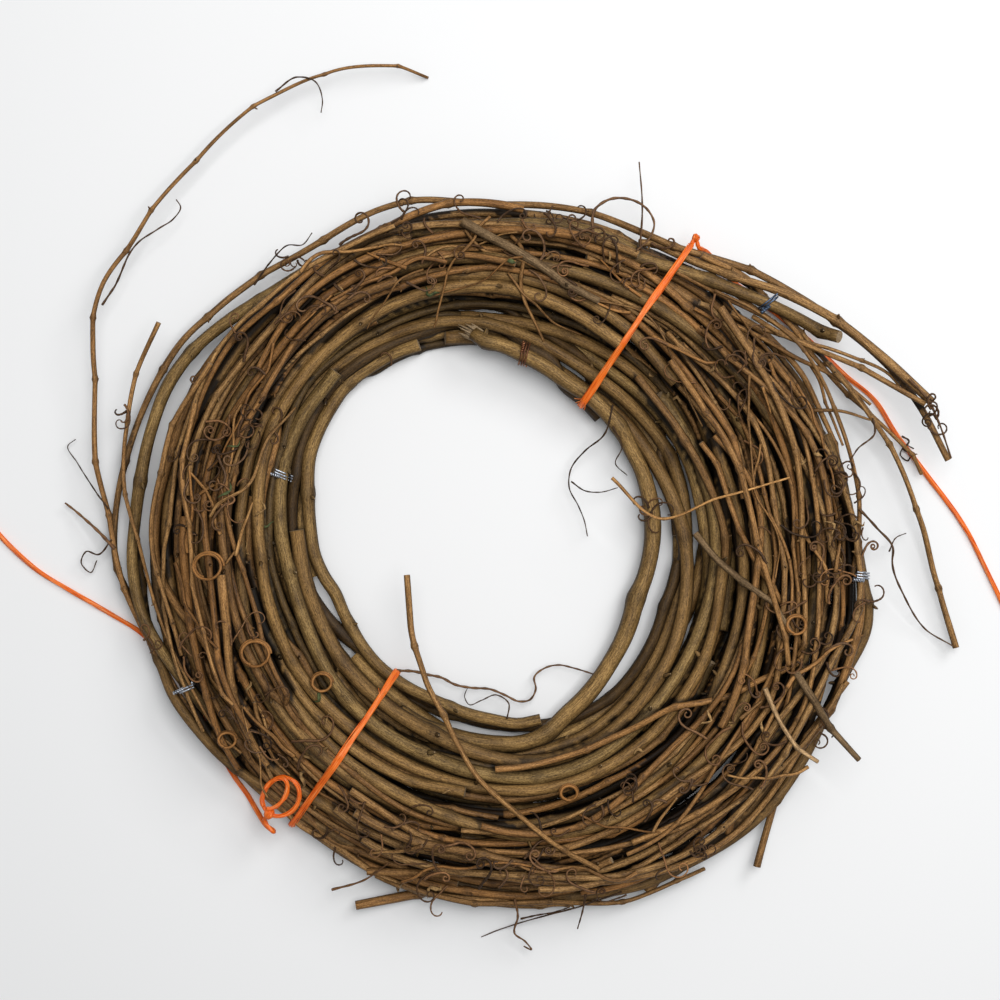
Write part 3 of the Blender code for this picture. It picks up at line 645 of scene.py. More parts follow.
def loosen(fills):
    """Ease the filling canes out of the modelled ones and out of each other."""
    fixed = [(azimuths, middles, size) for middles, size, azimuths in courses.values()]
    count = len(fixed) + len(fills)
    present = np.zeros((count, STATIONS), dtype=bool)
    radii, heights = np.zeros((count, STATIONS)), np.zeros((count, STATIONS))
    size = np.array([item[2] for item in fixed] + [item[4] for item in fills])
    for row, (azimuths, middles, _) in enumerate(fixed):
        start, end = (round(station_of(azimuth)) for azimuth in (azimuths[0], azimuths[-1]))
        fine = np.arange(start, end + 1)
        places = FIRST_STATION + STEP * fine
        present[row, fine % STATIONS] = True
        radii[row, fine % STATIONS] = np.interp(places, azimuths, radius_of(middles))
        heights[row, fine % STATIONS] = np.interp(places, azimuths, middles[:, 2])
    for row, (_, stations, own_radii, own_heights, _) in enumerate(fills, start=len(fixed)):
        present[row, stations % STATIONS] = True
        radii[row, stations % STATIONS] = own_radii
        heights[row, stations % STATIONS] = own_heights
    first = len(fixed)
    spacing = (size[first:, None] + size[None, :])[:, :, None] * NESTLE
    share = np.ones((count - first, count, 1))
    share[:, first:] = 0.5
    own = np.arange(count - first)
    inner = present & np.roll(present, 1, axis=1) & np.roll(present, -1, axis=1)
    ceilings = [(round(station_of(azimuth)), tie_ceiling(name))
                for name, azimuth in TIE_AZIMUTHS.items()]
    for step in range(ROUNDS):
        away_r = radii[first:, None, :] - radii[None, :, :]
        away_z = heights[first:, None, :] - heights[None, :, :]
        apart = np.sqrt(away_r ** 2 + away_z ** 2) + 1e-7
        short = spacing - apart
        active = present[first:, None, :] & present[None, :, :] & (short > 0)
        active[own, own + first] = False
        push = np.where(active, short * share * PUSH, 0.0)
        radii[first:] += (push * away_r / apart).sum(axis=1)
        heights[first:] += (push * away_z / apart).sum(axis=1)
        ease = EASE * (1 - step / ROUNDS)
        for values in (radii, heights):
            bend = (np.roll(values, 1, axis=1) + np.roll(values, -1, axis=1)) / 2 - values
            values[first:] += ease * np.where(inner, bend, 0.0)[first:]
        heights[first:] = np.minimum(heights[first:], HIGHEST_FILL - size[first:, None])
        for middle_station, (tie_radii, tops) in ceilings:
            for station in range(middle_station - 1, middle_station + 2):
                limit = np.interp(radii[first:, station], tie_radii, tops) - size[first:]
                heights[first:, station] = np.minimum(heights[first:, station], limit)
        heights[first:] = np.maximum(heights[first:], size[first:, None])
        radii[first:] = np.maximum(radii[first:], INSIDE[None, :] - 0.001)
    for row, (name, stations, _, _, thickness) in enumerate(fills, start=first):
        where = stations % STATIONS
        points = polar(FIRST_STATION + stations * STEP, radii[row, where], heights[row, where])
        yield name, points, thickness


# ---- canes with knuckles ------------------------------------------------------------------------
def bud(skein, path, place, size, tone):
    """A bud or the scar of a side shoot: a short blunt stub leaning along the cane."""
    forward = unit(path[min(place + 1, len(path) - 1)] - path[max(place - 1, 0)])
    side = unit(np.cross(forward, chance.normal(0, 1, 3)))
    side[2] = abs(side[2])
    way = unit(side + forward * chance.uniform(0.2, 0.9))
    length = size * chance.uniform(0.9, 1.9)
    steps = np.linspace(0.3, 1.0, 5)[:, None]
    stub = path[place] + way * (size * 0.6) + way * length * steps
    radii = size * chance.uniform(0.26, 0.42) * np.array((1.15, 1.0, 0.95, 0.75, 0.3))
    skein.tube(stub, radii, 6, (tone[0], tone[1] * 0.8), np.full(5, 0.5))


def cane(skein, points, size, tone, taper=0.14, sides=10):
    """A vine cane: knuckles with a slight zigzag between them, ribs, buds and a gentle taper.

    Thin canes have the boldest knuckles and the sharpest zigzag.
    """
    thinness = float(np.clip((0.0038 - size) / 0.0022, 0.0, 1.0))
    path = smooth_path(points, max(0.0016, size * 0.75))
    along = lengths_along(path)
    length = along[-1]
    gap = 0.03 + size * 11
    knots = np.cumsum(chance.uniform(0.65, 1.35, int(length / gap) + 3) * gap)
    knots = knots[knots < length - 0.004]
    normals, binormals = frames_along(path)
    swell = np.zeros(len(path))
    for knot in knots:
        swell = np.maximum(swell, np.exp(-((along - knot) / (size * 0.95)) ** 2))
    bend_knots = np.concatenate(([0.0], knots, [length]))
    for direction in (normals, binormals):
        offsets = chance.uniform(0.15, 0.5 + 1.0 * thinness, len(bend_knots)) * size
        offsets = offsets * (-1.0) ** np.arange(len(bend_knots))
        path = path + direction * np.interp(along, bend_knots, offsets)[:, None]
    path[:, 2] = np.maximum(path[:, 2], size * 0.95)
    radii = size * (1 + taper * (0.5 - along / length)) * (1 + (0.16 + 0.26 * thinness) * swell)
    radii = radii * (1 + 0.035 * np.sin(along * 90 + chance.uniform(0, 6)))
    angles = angles_round(sides)
    phase = chance.uniform(0, 6, 3)
    shape = 1 + 0.045 * np.sin(2 * angles[None, :] + phase[0] + along[:, None] * 14)
    shape = shape + 0.03 * np.sin(3 * angles[None, :] + phase[1] + along[:, None] * 31)
    skein.tube(path, radii, sides, tone, swell, shape)
    for knot in knots:
        if chance.uniform() < 0.6:
            bud(skein, path, int(np.argmin(np.abs(along - knot))), size, tone)
    return path, radii


def extend(middles, tip):
    """The course with the tip's points added at whichever of its ends is nearer to them."""
    if not tip:
        return middles
    if np.linalg.norm(middles[0] - tip[0]) < np.linalg.norm(middles[-1] - tip[0]):
        middles = middles[::-1]
    return np.vstack((middles, tip))


def any_tone(coolest, warmest, dimmest, brightest):
    """How warm and how bright a cane is, by chance."""
    return chance.uniform(coolest, warmest), chance.uniform(dimmest, brightest)


def tone_of(name):
    """A modelled cane's tone: the inner canes are olive, the outer ones redder."""
    if name.startswith(("inner", "hole", "split", "left_thick")):
        return any_tone(0.0, 0.6, 0.75, 1.2)
    if name.startswith(("middle", "left_edge", "bottom", "sawn")):
        return any_tone(0.1, 0.8, 0.7, 1.15)
    return any_tone(0.0, 0.7, 0.7, 1.15)


# Where thin tips reach past the modelled canes, millimetres from the ring's axis, and how much more
# slender than the model those canes are.
LONGER_TIPS = {"long_whip": [(-37, 311, 3)], "sawn_cane": [(230, 134.5, 33)],
               "bottom_outline_cane": [(-212, -77, 14), (-222, -56, 8), (-229, -24, 6), (-230, 8, 6)]}
SLENDER = {"long_whip": (0.78, 0.7), "right_whip": (0.85, 0.5), "left_twig": (0.85, 0.5),
           "right_inner_twig": (0.9, 0.4)}

laid = []
waiting = []
OLIVE = ("inner", "middle", "hole", "split", "left_thick", "left_edge", "sawn", "bottom")
for name in CANES:
    middles, size, _ = courses[name]
    slimmer, taper = SLENDER.get(name, (1.0, 0.14))
    middles = extend(middles, [placed(*point) for point in LONGER_TIPS.get(name, [])])
    skein = Skein()
    path, radii = cane(skein, middles, size * slimmer, tone_of(name), taper)
    look = (OLIVE_CANE, "olive_cane") if name.startswith(OLIVE) else (BROWN_CANE, "brown_cane")
    waiting.append((skein, name + "_bark", *look, [name]))
    laid.append((path, radii))
    if name == "split_cane":
        torn_end = path if azimuth_of(path[-1]) > azimuth_of(path[0]) else path[::-1]

fill_skeins = {fill[0]: Skein() for fill in FILLS}
for name, points, size in loosen(fill_courses()):
    # painted shade: the canes at the bottom of the pile are painted darker
    shade_under_pile = 0.4 if name == "under_canes" else 1.0
    tone = (chance.uniform(0.0, 0.9), chance.uniform(0.65, 1.15) * shade_under_pile)
    laid.append(cane(fill_skeins[name], points, size, tone, sides=8 if size > 0.0019 else 6))
for name, skein in fill_skeins.items():
    waiting.append((skein, name, OLIVE_CANE if name == "under_canes" else BROWN_CANE, "brown_cane", []))


# ---- what lies on top ---------------------------------------------------------------------------
CELL = 0.002
GRID_SIZE = 400
GRID_ORIGIN = np.array((-0.4, -0.4))


def cell_of(points):
    """The height map's row and column under each point."""
    return np.clip(((points[:, :2] - GRID_ORIGIN) / CELL).astype(int), 1, GRID_SIZE - 2)


height_map = np.zeros((GRID_SIZE, GRID_SIZE))


def pile_up(path, radii):
    """Add a cane to the height map."""
    cells = cell_of(path)
    tops = path[:, 2] + radii * 0.9
    for shift_x in (-1, 0, 1):
        for shift_y in (-1, 0, 1):
            np.maximum.at(height_map, (cells[:, 0] + shift_x, cells[:, 1] + shift_y), tops)


def top_of_pile(points):
    """The height of the pile's top at each point."""
    cells = cell_of(points)
    return height_map[cells[:, 0], cells[:, 1]]


for path, radii in laid:
    pile_up(path, radii)


def rest_on(path, size, slope=0.35):
    """Lift a path so that it lies on what is under it, bridging the gaps."""
    under = top_of_pile(path) + size
    along = lengths_along(path)
    bridged = np.max(under[None, :] - slope * np.abs(along[:, None] - along[None, :]), axis=1)
    window = np.hanning(min(9, len(path)) + 2)[1:-1]
    width = len(window)
    padded = np.pad(bridged, width // 2, mode="edge")[:len(path) + width - 1]
    path = path.copy()
    path[:, 2] = np.maximum(np.convolve(padded, window / window.sum(), mode="valid")[:len(path)], size)
    return path


def edge_at(edge, azimuths):
    """The radius of the ring's inside or outside at azimuths between the stations."""
    return np.interp(station_of(azimuths), np.arange(STATIONS), edge, period=STATIONS)


def across_ring(azimuths, lane):
    """Points at a share of the ring's width, 0 at the opening and 1 at the outside."""
    inside, outside = edge_at(INSIDE, azimuths), edge_at(OUTSIDE, azimuths)
    return polar(azimuths, inside + lane * (outside - inside))


HIGHEST = 0.057                                  # nothing loose stands higher than this
CLEAR_OF_TIE = 4.5
SECTOR = 180 - 2 * CLEAR_OF_TIE


def draped_canes(count):
    """Thin canes that lie over the outer half of the pile, each between one tie and the other."""
    skein = Skein()
    for _ in range(count):
        size = chance.uniform(0.0012, 0.0028)
        span = chance.uniform(35, SECTOR)
        start = TIE_AZIMUTHS["upper_tie"] + CLEAR_OF_TIE + chance.choice((0, 180))
        start = start + chance.uniform(0, SECTOR - span)
        azimuths = np.arange(start, start + span, 1.0)
        share = np.linspace(0, 1, len(azimuths))
        lane = chance.uniform(0.5, 1.0) + chance.uniform(-0.22, 0.22) * share
        lane = lane + 0.04 * np.sin(azimuths / 9 + chance.uniform(0, 6))
        path = rest_on(across_ring(azimuths, np.clip(lane, 0.36, 1.06)), size, 0.1)
        if path[:, 2].max() > HIGHEST - size:
            continue
        pile_up(*cane(skein, path[::3], size, any_tone(0.0, 0.9, 0.75, 1.25), taper=0.4, sides=8))
    waiting.append((skein, "draped_canes", BROWN_CANE, "brown_cane", []))


draped_canes(40)
for skein, name, materials, slot, replaced in waiting:
    # painted shade on bark that lies deep in the pile
    skein.shade_deep_in_pile(top_of_pile)
    skein.build(name, materials, slot, replaced)

for name in STICKS:
    middles, size = stick_course(name)
    middles = smooth_path(middles, 0.004)
    middles[:, 2] = np.minimum(np.maximum(middles[:, 2], rest_on(middles, size)[:, 2]), HIGHEST - size)
    skein = Skein()
    look = (BROWN_CANE, "brown_cane") if name == "centre_stick" else (GREY_CANE, "grey_wood")
    cane(skein, middles, size, (0.3, 2.6 if name == "pale_stick" else 1.05), taper=0.3)
    skein.build(name + "_bark", *look, [name])


def curl(start, heading, length, first_bend, last_bend, spacing=0.0007):
    """A plan curve that bends more and more towards its tip."""
    steps = int(length / spacing)
    share = np.linspace(0, 1, steps)
    bend = first_bend + (last_bend - first_bend) * share ** 2.6
    wobble = 70 * np.sin(share * chance.uniform(8, 20) + chance.uniform(0, 6)) * (1 - share)
    angle = heading + np.cumsum(bend + wobble) * spacing
    walk = np.cumsum(np.stack((np.cos(angle), np.sin(angle), np.zeros(steps)), axis=-1), axis=0) * spacing
    return np.asarray(start) + walk


def tendril(skein, path, size, lift=0.0, tone=(0.3, 1.0)):
    """A thin dark tendril lying on the pile, thinning to its tip, its curled end standing up a little."""
    share = np.linspace(0, 1, len(path))
    resting = rest_on(path, size)
    resting[:, 2] += lift * np.sin(math.pi * np.clip(share * 1.1, 0, 1)) + 0.05 * share * lengths_along(path)
    resting[:, 2] = np.minimum(resting[:, 2], HIGHEST + 0.002 * np.sin(share * 9))
    radii = size * (1.15 - 0.5 * share) * (1 + 0.12 * np.sin(share * 60 + chance.uniform(0, 6)))
    skein.tube(resting, radii, 6, tone)


def random_place(lane_low, lane_high):
    """A place on the ring, with its azimuth, between two shares of the ring's width."""
    azimuth = chance.uniform(0, 360)
    return across_ring(azimuth, chance.uniform(lane_low, lane_high)), math.radians(azimuth)


MARGIN = 0.018                                   # how far loose pieces may reach past the model
LOW_LIMIT = np.array(cad_box[0]) - MARGIN
HIGH_LIMIT = np.array(cad_box[1]) + MARGIN


def has_room(path):
    """Whether a loose piece stays near the modelled size and clear of the ties."""
    inside = np.all(path[:, :2] > LOW_LIMIT[:2]) and np.all(path[:, :2] < HIGH_LIMIT[:2])
    past_tie = (azimuth_of(path) - TIE_AZIMUTHS["upper_tie"] + 90) % 180 - 90
    return bool(inside and np.all(np.abs(past_tie) > CLEAR_OF_TIE / 2))


ON_A_CANE = 0.003                                # the pile's height where a curl may grow


def on_a_cane(path):
    """Whether a loose piece starts on a cane."""
    return top_of_pile(path[:1])[0] > ON_A_CANE


def near_ring(path, reach):
    """Whether a loose piece stays within reach of the ring's outside."""
    return bool(np.all(radius_of(path) < edge_at(OUTSIDE, azimuth_of(path)) + reach))


def scattered_tendrils(count):
    """Tendrils all over the outer half of the ring and past its edge."""
    skein = Skein()
    for _ in range(count):
        start, turn = random_place(0.5, 1.05)
        heading = turn + math.pi / 2 * chance.choice((-1, 1)) + chance.normal(0, 0.9)
        bend = chance.uniform(300, 1100) * chance.choice((-1, 1))
        path = curl(start, heading, chance.uniform(0.012, 0.05), bend * 0.03, bend)
        if has_room(path) and near_ring(path, 0.014) and on_a_cane(path):
            tendril(skein, path, chance.uniform(0.0005, 0.00095), chance.uniform(0.0, 0.003),
                    any_tone(0, 1, 0.7, 3.2))
    skein.build("scattered_tendrils", [TENDRIL_BARK])


def broken_twigs(count):
    """Short broken twigs and shoots caught in the top of the coil."""
    skein = Skein()
    for _ in range(count):
        start, turn = random_place(0.5, 1.0)
        heading = turn + math.pi / 2 * chance.choice((-1, 1)) + chance.normal(0, 0.33)
        length = chance.uniform(0.02, 0.1)
        path = curl(start, heading, length, chance.normal(0, 5), chance.normal(0, 16), 0.0015)
        size = chance.uniform(0.0006, 0.0014)
        if not (has_room(path) and near_ring(path, 0.008) and on_a_cane(path)):
            continue
        path = rest_on(path, size)
        if path[:, 2].max() > HIGHEST:
            continue
        cane(skein, path[::6], size, any_tone(0.2, 1.0, 0.75, 1.35), taper=0.5, sides=6)
    skein.build("broken_twigs")


# Tendrils and twigs that show on their own, as millimetres from the ring's axis: size, height above
# the floor where nothing is under them, and the points.
LOOSE_VINES = [
    (0.7, 24, [(-249, 157), (-240, 172), (-226, 196), (-212, 207), (-203, 214), (-199, 222), (-202, 227)]),
    (0.6, 24, [(-136, 296), (-122, 306), (-110, 303), (-106, 292), (-107, 284)]),
    (0.9, 16, [(-58, -82), (-45, -83), (-38, -85), (-29, -87), (-19, -92), (-9, -94), (4, -95), (14, -99),
               (23, -103), (30, -102), (34, -95), (33, -87), (40, -81), (49, -79), (59, -81), (72, -85)]),
    (0.5, 14, [(15, -113), (16, -103), (8, -98), (-2, -102), (-10, -105), (-13, -100), (-11, -94)]),
    (0.6, 18, [(84, 92), (78, 72), (66, 62), (57, 50), (56, 38), (62, 26), (66, 16), (68, 6)]),
    (0.5, 18, [(84, 78), (90, 64), (86, 54), (94, 46)]),
    (0.5, 18, [(57, 42), (66, 36), (76, 35), (88, 38)]),
    (0.8, 14, [(242, 24), (254, 12), (266, -2), (266, -10), (276, -34), (292, -56), (308, -66)]),
    (0.5, 14, [(266, -4), (271, 5), (278, 8)]),
    (0.8, 8, [(20, -230), (22, -242), (20, -254), (27, -260), (31, -266), (26, -264)]),
    (0.7, 26, [(252, 83), (253, 74), (240, 62), (235, 54)]),
    (0.6, 6, [(276, 72), (281, 69), (278, 63), (283, 61), (281, 56), (276, 60), (280, 66), (285, 64)]),
    (0.6, 8, [(24, -246), (34, -243), (46, -240), (56, -236)]),
    (0.6, 8, [(90, -226), (62, -236), (22, -250), (-2, -260)]),
    (0.7, 8, [(66, -226), (64, -238), (61, -250)]),
    (1.1, 14, [(-242, -2), (-252, 8), (-264, 18), (-277, 28)]),
    (0.5, 14, [(-246, 24), (-258, 40), (-268, 54), (-275, 66), (-270, 70)]),
    (0.6, 14, [(-244, 4), (-254, -6), (-262, -4), (-266, -12), (-260, -18), (-256, -10)]),
    (0.7, 34, [(101, 192), (103, 222), (101, 250)]),
    (1.0, 30, [(70, 199), (72, 218), (82, 225), (96, 225), (106, 218), (110, 209), (107, 199), (98, 190)]),
    (0.9, 34, [(274, 108), (284, 96), (294, 78), (303, 57)]),
    (0.8, 10, [(-100, -226), (-78, -218), (-62, -206)]),
    (0.6, 20, [(-150, 170), (-140, 184), (-128, 196), (-118, 196), (-112, 204)]),
]
# Rings of tendril that lie on the canes: azimuth and radius of the middle, and the ring's own radius.
TENDRIL_RINGS = [(184, 176, 10), (205, 161, 10), (220, 137, 7), (217, 208, 6), (-71, 168, 6), (-14, 205, 7)]
# Where curls gather: azimuth, radius, how far they spread, and how many there are.
CURL_PLACES = [(12, 228, 14, 9), (3, 226, 14, 10), (-6, 222, 12, 8), (-17, 215, 12, 6), (118, 132, 4, 6),
               (11, 108, 6, 7), (-8, 250, 7, 3), (150, 166, 16, 8), (195, 228, 8, 4), (124, 222, 10, 6),
               (241, 212, 4, 3), (-56, 240, 7, 5), (-28, 256, 9, 7), (16, 300, 6, 8), (20, 276, 8, 5),
               (104, 214, 8, 5), (159, 250, 6, 4), (-62, 178, 14, 6), (78, 222, 8, 3), (60, 205, 10, 4),
               (33, 205, 14, 6)]


def gathered_curls():
    """Tight dark curls where the vine's tendrils gather."""
    skein = Skein()
    for azimuth, radius, spread, count in CURL_PLACES:
        for _ in range(count):
            start = polar(azimuth, radius * MM) + np.append(chance.normal(0, spread * MM / 2, 2), 0.0)
            bend = chance.uniform(350, 900) * chance.choice((-1, 1))
            path = curl(start, chance.uniform(0, TURN), chance.uniform(0.012, 0.032), bend * 0.2, bend)
            if has_room(path) and on_a_cane(path):
                tendril(skein, path, chance.uniform(0.0005, 0.0008), chance.uniform(0.0, 0.004),
                        any_tone(0, 1, 0.8, 1.8))
    skein.build("gathered_curls", [TENDRIL_BARK])


def splinters(path, size):
    """The torn end of a cane: pale shards that go on past its last point."""
    skein = Skein()
    forward = unit(path[-1] - path[-4])
    side = unit(np.cross(forward, (0.0, 0.0, 1.0)))
    for shard in range(9):
        across = size * 0.8 * (shard / 4 - 1) * side + np.array((0, 0, size * chance.uniform(-0.5, 0.6)))
        reach = chance.uniform(0.004, 0.013)
        way = unit(forward + side * chance.normal(0, 0.08) + np.array((0, 0, chance.normal(0, 0.05))))
        steps = np.linspace(-0.006, reach, 6)[:, None]
        radii = chance.uniform(0.0007, 0.0014) * np.array((1.0, 1.1, 1.0, 0.8, 0.55, 0.15))
        skein.tube(path[-1] + across + way * steps, radii, 5, (0.3, 1.0))
    skein.build("split_cane_splinters", [CUT_WOOD], "olive_cane")


def loose_vines():
    """The tendrils and thin shoots that stand out from the ring."""
    skein = Skein()
    for size, height, points in LOOSE_VINES:
        path = smooth_path([placed(x, y, height) for x, y in points], 0.0008)
        over = rest_on(path, size * MM)
        hang = np.minimum(lengths_along(path) * 0.25, 0.008)
        path[:, 2] = np.maximum(over[:, 2], path[:, 2] - hang)
        share = np.linspace(0, 1, len(path))
        radii = size * MM * (1.1 - 0.5 * share)
        radii = radii * (1 + 0.15 * np.sin(share * len(points) * 9))
        skein.tube(path, radii, 7, (chance.uniform(0.2, 1), 0.8 + 1.6 * max(size - 0.6, 0) / 0.4))
    skein.build("loose_vines", [TENDRIL_BARK])


def tendril_rings():
    """Round turns of tendril, lying on the pile."""
    skein = Skein()
    for azimuth, radius, reach in TENDRIL_RINGS:
        turn = np.linspace(0, TURN * 1.7, 110)
        centre = polar(azimuth, radius * MM)
        swing = reach * MM * (1 - 0.05 * turn / math.pi)
        path = centre + np.stack((swing * np.cos(turn), swing * 0.9 * np.sin(turn), 0 * turn), axis=-1)
        path = rest_on(path, 0.001)
        path[:, 2] += 0.0003 * turn
        skein.tube(path, 0.001, 8, (1.0, 1.25))
    skein.build("tendril_rings", [BROWN_BARK])


# Thin straight canes that fan out past the upper tie: radius, height at the start, and the points.
SPRAY = [
    (1.7, 34, 10, [(140, 186), (174, 173), (210, 128), (254, 86), (290, 48)]),
    (1.4, 30, 20, [(163, 142), (183, 134), (203, 124), (222, 116), (239, 104), (252, 92)]),
    (1.2, 34, 24, [(180, 140), (203, 134), (223, 129), (241, 122), (265, 111), (272, 104)]),
    (2.0, 24, 18, [(160, 150), (179, 141), (207, 113), (218, 89), (229, 62), (235, 43)]),
    (1.0, 22, 20, [(212, 118), (218, 110), (226, 89), (233, 65)]),
    (1.0, 24, 24, [(214, 88), (233, 88), (252, 83)]),
    (1.3, 34, 20, [(124, 176), (160, 160), (196, 140), (226, 116)]),
    (1.1, 30, 14, [(150, 170), (190, 146), (232, 112), (262, 78)]),
]


def spray():
    """Lay out the fan of thin canes."""
    skein = Skein()
    for size, first_height, last_height, points in SPRAY:
        heights = np.linspace(first_height, last_height, len(points))
        middles = [placed(x, y, height) for (x, y), height in zip(points, heights)]
        cane(skein, middles, size * MM, any_tone(0.1, 0.7, 0.7, 1.1), taper=0.5, sides=8)
    skein.build("spray_of_canes")


# Canes and twigs that cross the others, lying on the pile: radius, brightness, and the points.
CROSSING = [
    (2.1, 1.05, [(118, 118), (146, 83), (167, 30), (183, -29), (196, -78)]),
    (2.2, 1.0, [(150, 152), (180, 108), (198, 56), (206, -29), (204, -70)]),
    (0.9, 1.7, [(82, 44), (111, 19), (150, 30), (195, 45)]),
    (0.8, 0.8, [(168, 110), (170, 76), (171, 43)]),
    (0.7, 0.7, [(60, 160), (104, 149), (125, 112), (140, 77)]),
    (1.7, 0.95, [(-176, 118), (-201, 72), (-214, 5), (-207, -29), (-196, -71)]),
    (1.5, 1.15, [(-186, 92), (-192, 31), (-188, -3), (-178, -60), (-160, -104)]),
]


def crossing_canes():
    """Lay out the canes and twigs that cross the others."""
    skein = Skein()
    for size, brightness, points in CROSSING:
        path = smooth_path([placed(x, y) for x, y in points], 0.003)
        path = rest_on(path, size * MM, 0.1)
        path[:, 2] = np.minimum(path[:, 2], HIGHEST - size * MM)
        cane(skein, path[::2], size * MM, (chance.uniform(0.2, 0.6), brightness), taper=0.4, sides=8)
    skein.build("crossing_canes")


spray()
scattered_tendrils(190)
broken_twigs(75)
loose_vines()
tendril_rings()
gathered_curls()
splinters(torn_end, 0.0054)
crossing_canes()


def leaf_scraps(name, material, count, low, high):
    """Crumpled scraps of leaf and peeled bark caught between the canes."""
    skein = Skein()
    for _ in range(count):
        centre, turn = random_place(low, high)
        centre = rest_on(centre[None, :], 0.0008)[0]
        length, width = chance.uniform(0.005, 0.014), chance.uniform(0.0006, 0.0018)
        heading = turn + math.pi / 2 + chance.normal(0, 0.7)
        along = np.linspace(-0.5, 0.5, 7)
        sway = 0.22 * length * np.sin(along * chance.uniform(3, 9) + chance.uniform(0, 6))
        spine = centre + np.stack((np.cos(heading) * along * length - np.sin(heading) * sway,
                                   np.sin(heading) * along * length + np.cos(heading) * sway,
                                   0.0016 * np.cos(along * chance.uniform(3, 7))), axis=-1)
        flat = np.clip(1.05 - (2 * along) ** 2, 0.12, 1.0) * chance.uniform(0.6, 1.2, 7)
        angles = angles_round(8)
        shape = np.sqrt(np.cos(angles) ** 2 + (0.16 * np.sin(angles)) ** 2)
        skein.tube(spine, width * flat, 8, (0.5, 1.0), shape=shape)
    skein.build(name, [material])


DRY_LEAF = dry_leaf("dry_leaf", (0.12, 0.06, 0.02), (0.5, 0.3, 0.11))
leaf_scraps("dry_leaf_scraps", DRY_LEAF, 26, 0.2, 1.0)
GREEN_LEAF = dry_leaf("green_leaf", (0.025, 0.035, 0.01), (0.1, 0.125, 0.035))
leaf_scraps("green_leaf_scraps", GREEN_LEAF, 6, 0.3, 0.8)


# ---- ties, knots and wires ----------------------------------------------------------------------
def tie(name):
    """Twine drawn tight round the ring: a flat folded strand with loose fibres along it."""
    azimuth = math.radians(TIE_AZIMUTHS[name])
    _, outline, outward, along_ring = section_of(name, TIE_AZIMUTHS[name])
    closed = closed_line(outline, outline.mean(axis=0), TWINE_THICKNESS * 0.5)
    path = RING_AXIS + closed[:, :1] * outward + closed[:, 1:] * UP
    lengths = lengths_along(path)
    places = np.linspace(0, lengths[-1], round(lengths[-1] / 0.0012))
    path = at_places(places, lengths, path)
    forward = unit(np.gradient(path, axis=0))
    out = np.cross(forward, along_ring)
    skein = Skein()
    sides = 18
    angles = angles_round(sides)
    pinch = 1 + 0.16 * np.sin(places * 75) + 0.08 * np.sin(places * 190 + 1)
    sway = 0.0007 * np.sin(places * 38)[:, None] * along_ring
    wide = TWINE_WIDTH / 2 * pinch[:, None] * np.cos(angles)[None, :]
    folds = 1 + 0.35 * np.sin(angles * 7 + places[:, None] * 60)
    thick = TWINE_THICKNESS / 2 * np.sin(angles)[None, :] * folds
    rings = (path + sway)[:, None, :] + wide[..., None] * along_ring + thick[..., None] * out[:, None, :]
    grain = np.stack((wide, thick, np.repeat(places[:, None], sides, axis=1)), axis=-1)
    skein.rings(rings, grain, np.zeros(grain.shape))
    for _ in range(9):
        across = TWINE_WIDTH * 0.5 * np.sin(places * chance.uniform(15, 60) + chance.uniform(0, 6))
        lift = TWINE_THICKNESS * chance.uniform(0.45, 0.75)
        line = path + across[:, None] * along_ring + out * lift * np.cos(across / TWINE_WIDTH * 2)[:, None]
        skein.tube(line, 0.0002, 5)
    for _ in range(7):
        start = path[int(np.argmin((path - RING_AXIS) @ outward + path[:, 2] * -2))]
        path_end = curl(start + outward * 0.001, azimuth + math.pi + chance.normal(0, 0.7),
                        chance.uniform(0.003, 0.008), 0, chance.normal(0, 120), 0.0005)
        path_end[:, 2] += np.linspace(0, chance.uniform(-0.002, 0.003), len(path_end))
        skein.tube(path_end, FIBRE_RADIUS, 5)
    skein.build(name + "_twine", [TWINE], "orange_twine", [name])


def knot_strand(skein, points, size):
    """One rounded strand of a knot."""
    strand(skein, smooth_path(points, 0.0012), size, 14, 14.0, 5)


def tucked_turns(skein, centre, tie_name, tilt, turns, number, reach, rise, size):
    """Turns of a strand round a knot, through a number of points, tilted off the tie's radial plane."""
    out, side = radial_frame(TIE_AZIMUTHS[tie_name])
    axis = unit(side + tilt * UP)
    other = np.cross(out, axis)
    turn = np.linspace(0, TURN * turns, number)[:, None]
    climb = 2 * np.arange(number)[:, None] / number - 1
    path = centre + out * reach[0] * np.cos(turn) + other * reach[1] * np.sin(turn) + axis * rise * climb
    knot_strand(skein, path, size)


def upper_knot():
    """The knot at the upper tie's outer end: two tucked turns, and a strand leading to the right tail."""
    middle = np.mean(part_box("upper_knot"), axis=0)
    out, _ = radial_frame(TIE_AZIMUTHS["upper_tie"])
    skein = Skein()
    for tilt in (0.5, -0.6):
        tucked_turns(skein, middle, "upper_tie", tilt, 2.2, 26, (0.0015, 0.0018), 0.0012, 0.001)
    join = [middle - out * 0.006, middle, middle * 0.5 + right_path[0] * 0.5, right_path[0], right_path[2]]
    knot_strand(skein, join, 0.00145)
    skein.build("upper_knot_twine", [TWINE], "orange_twine", ["upper_knot"])


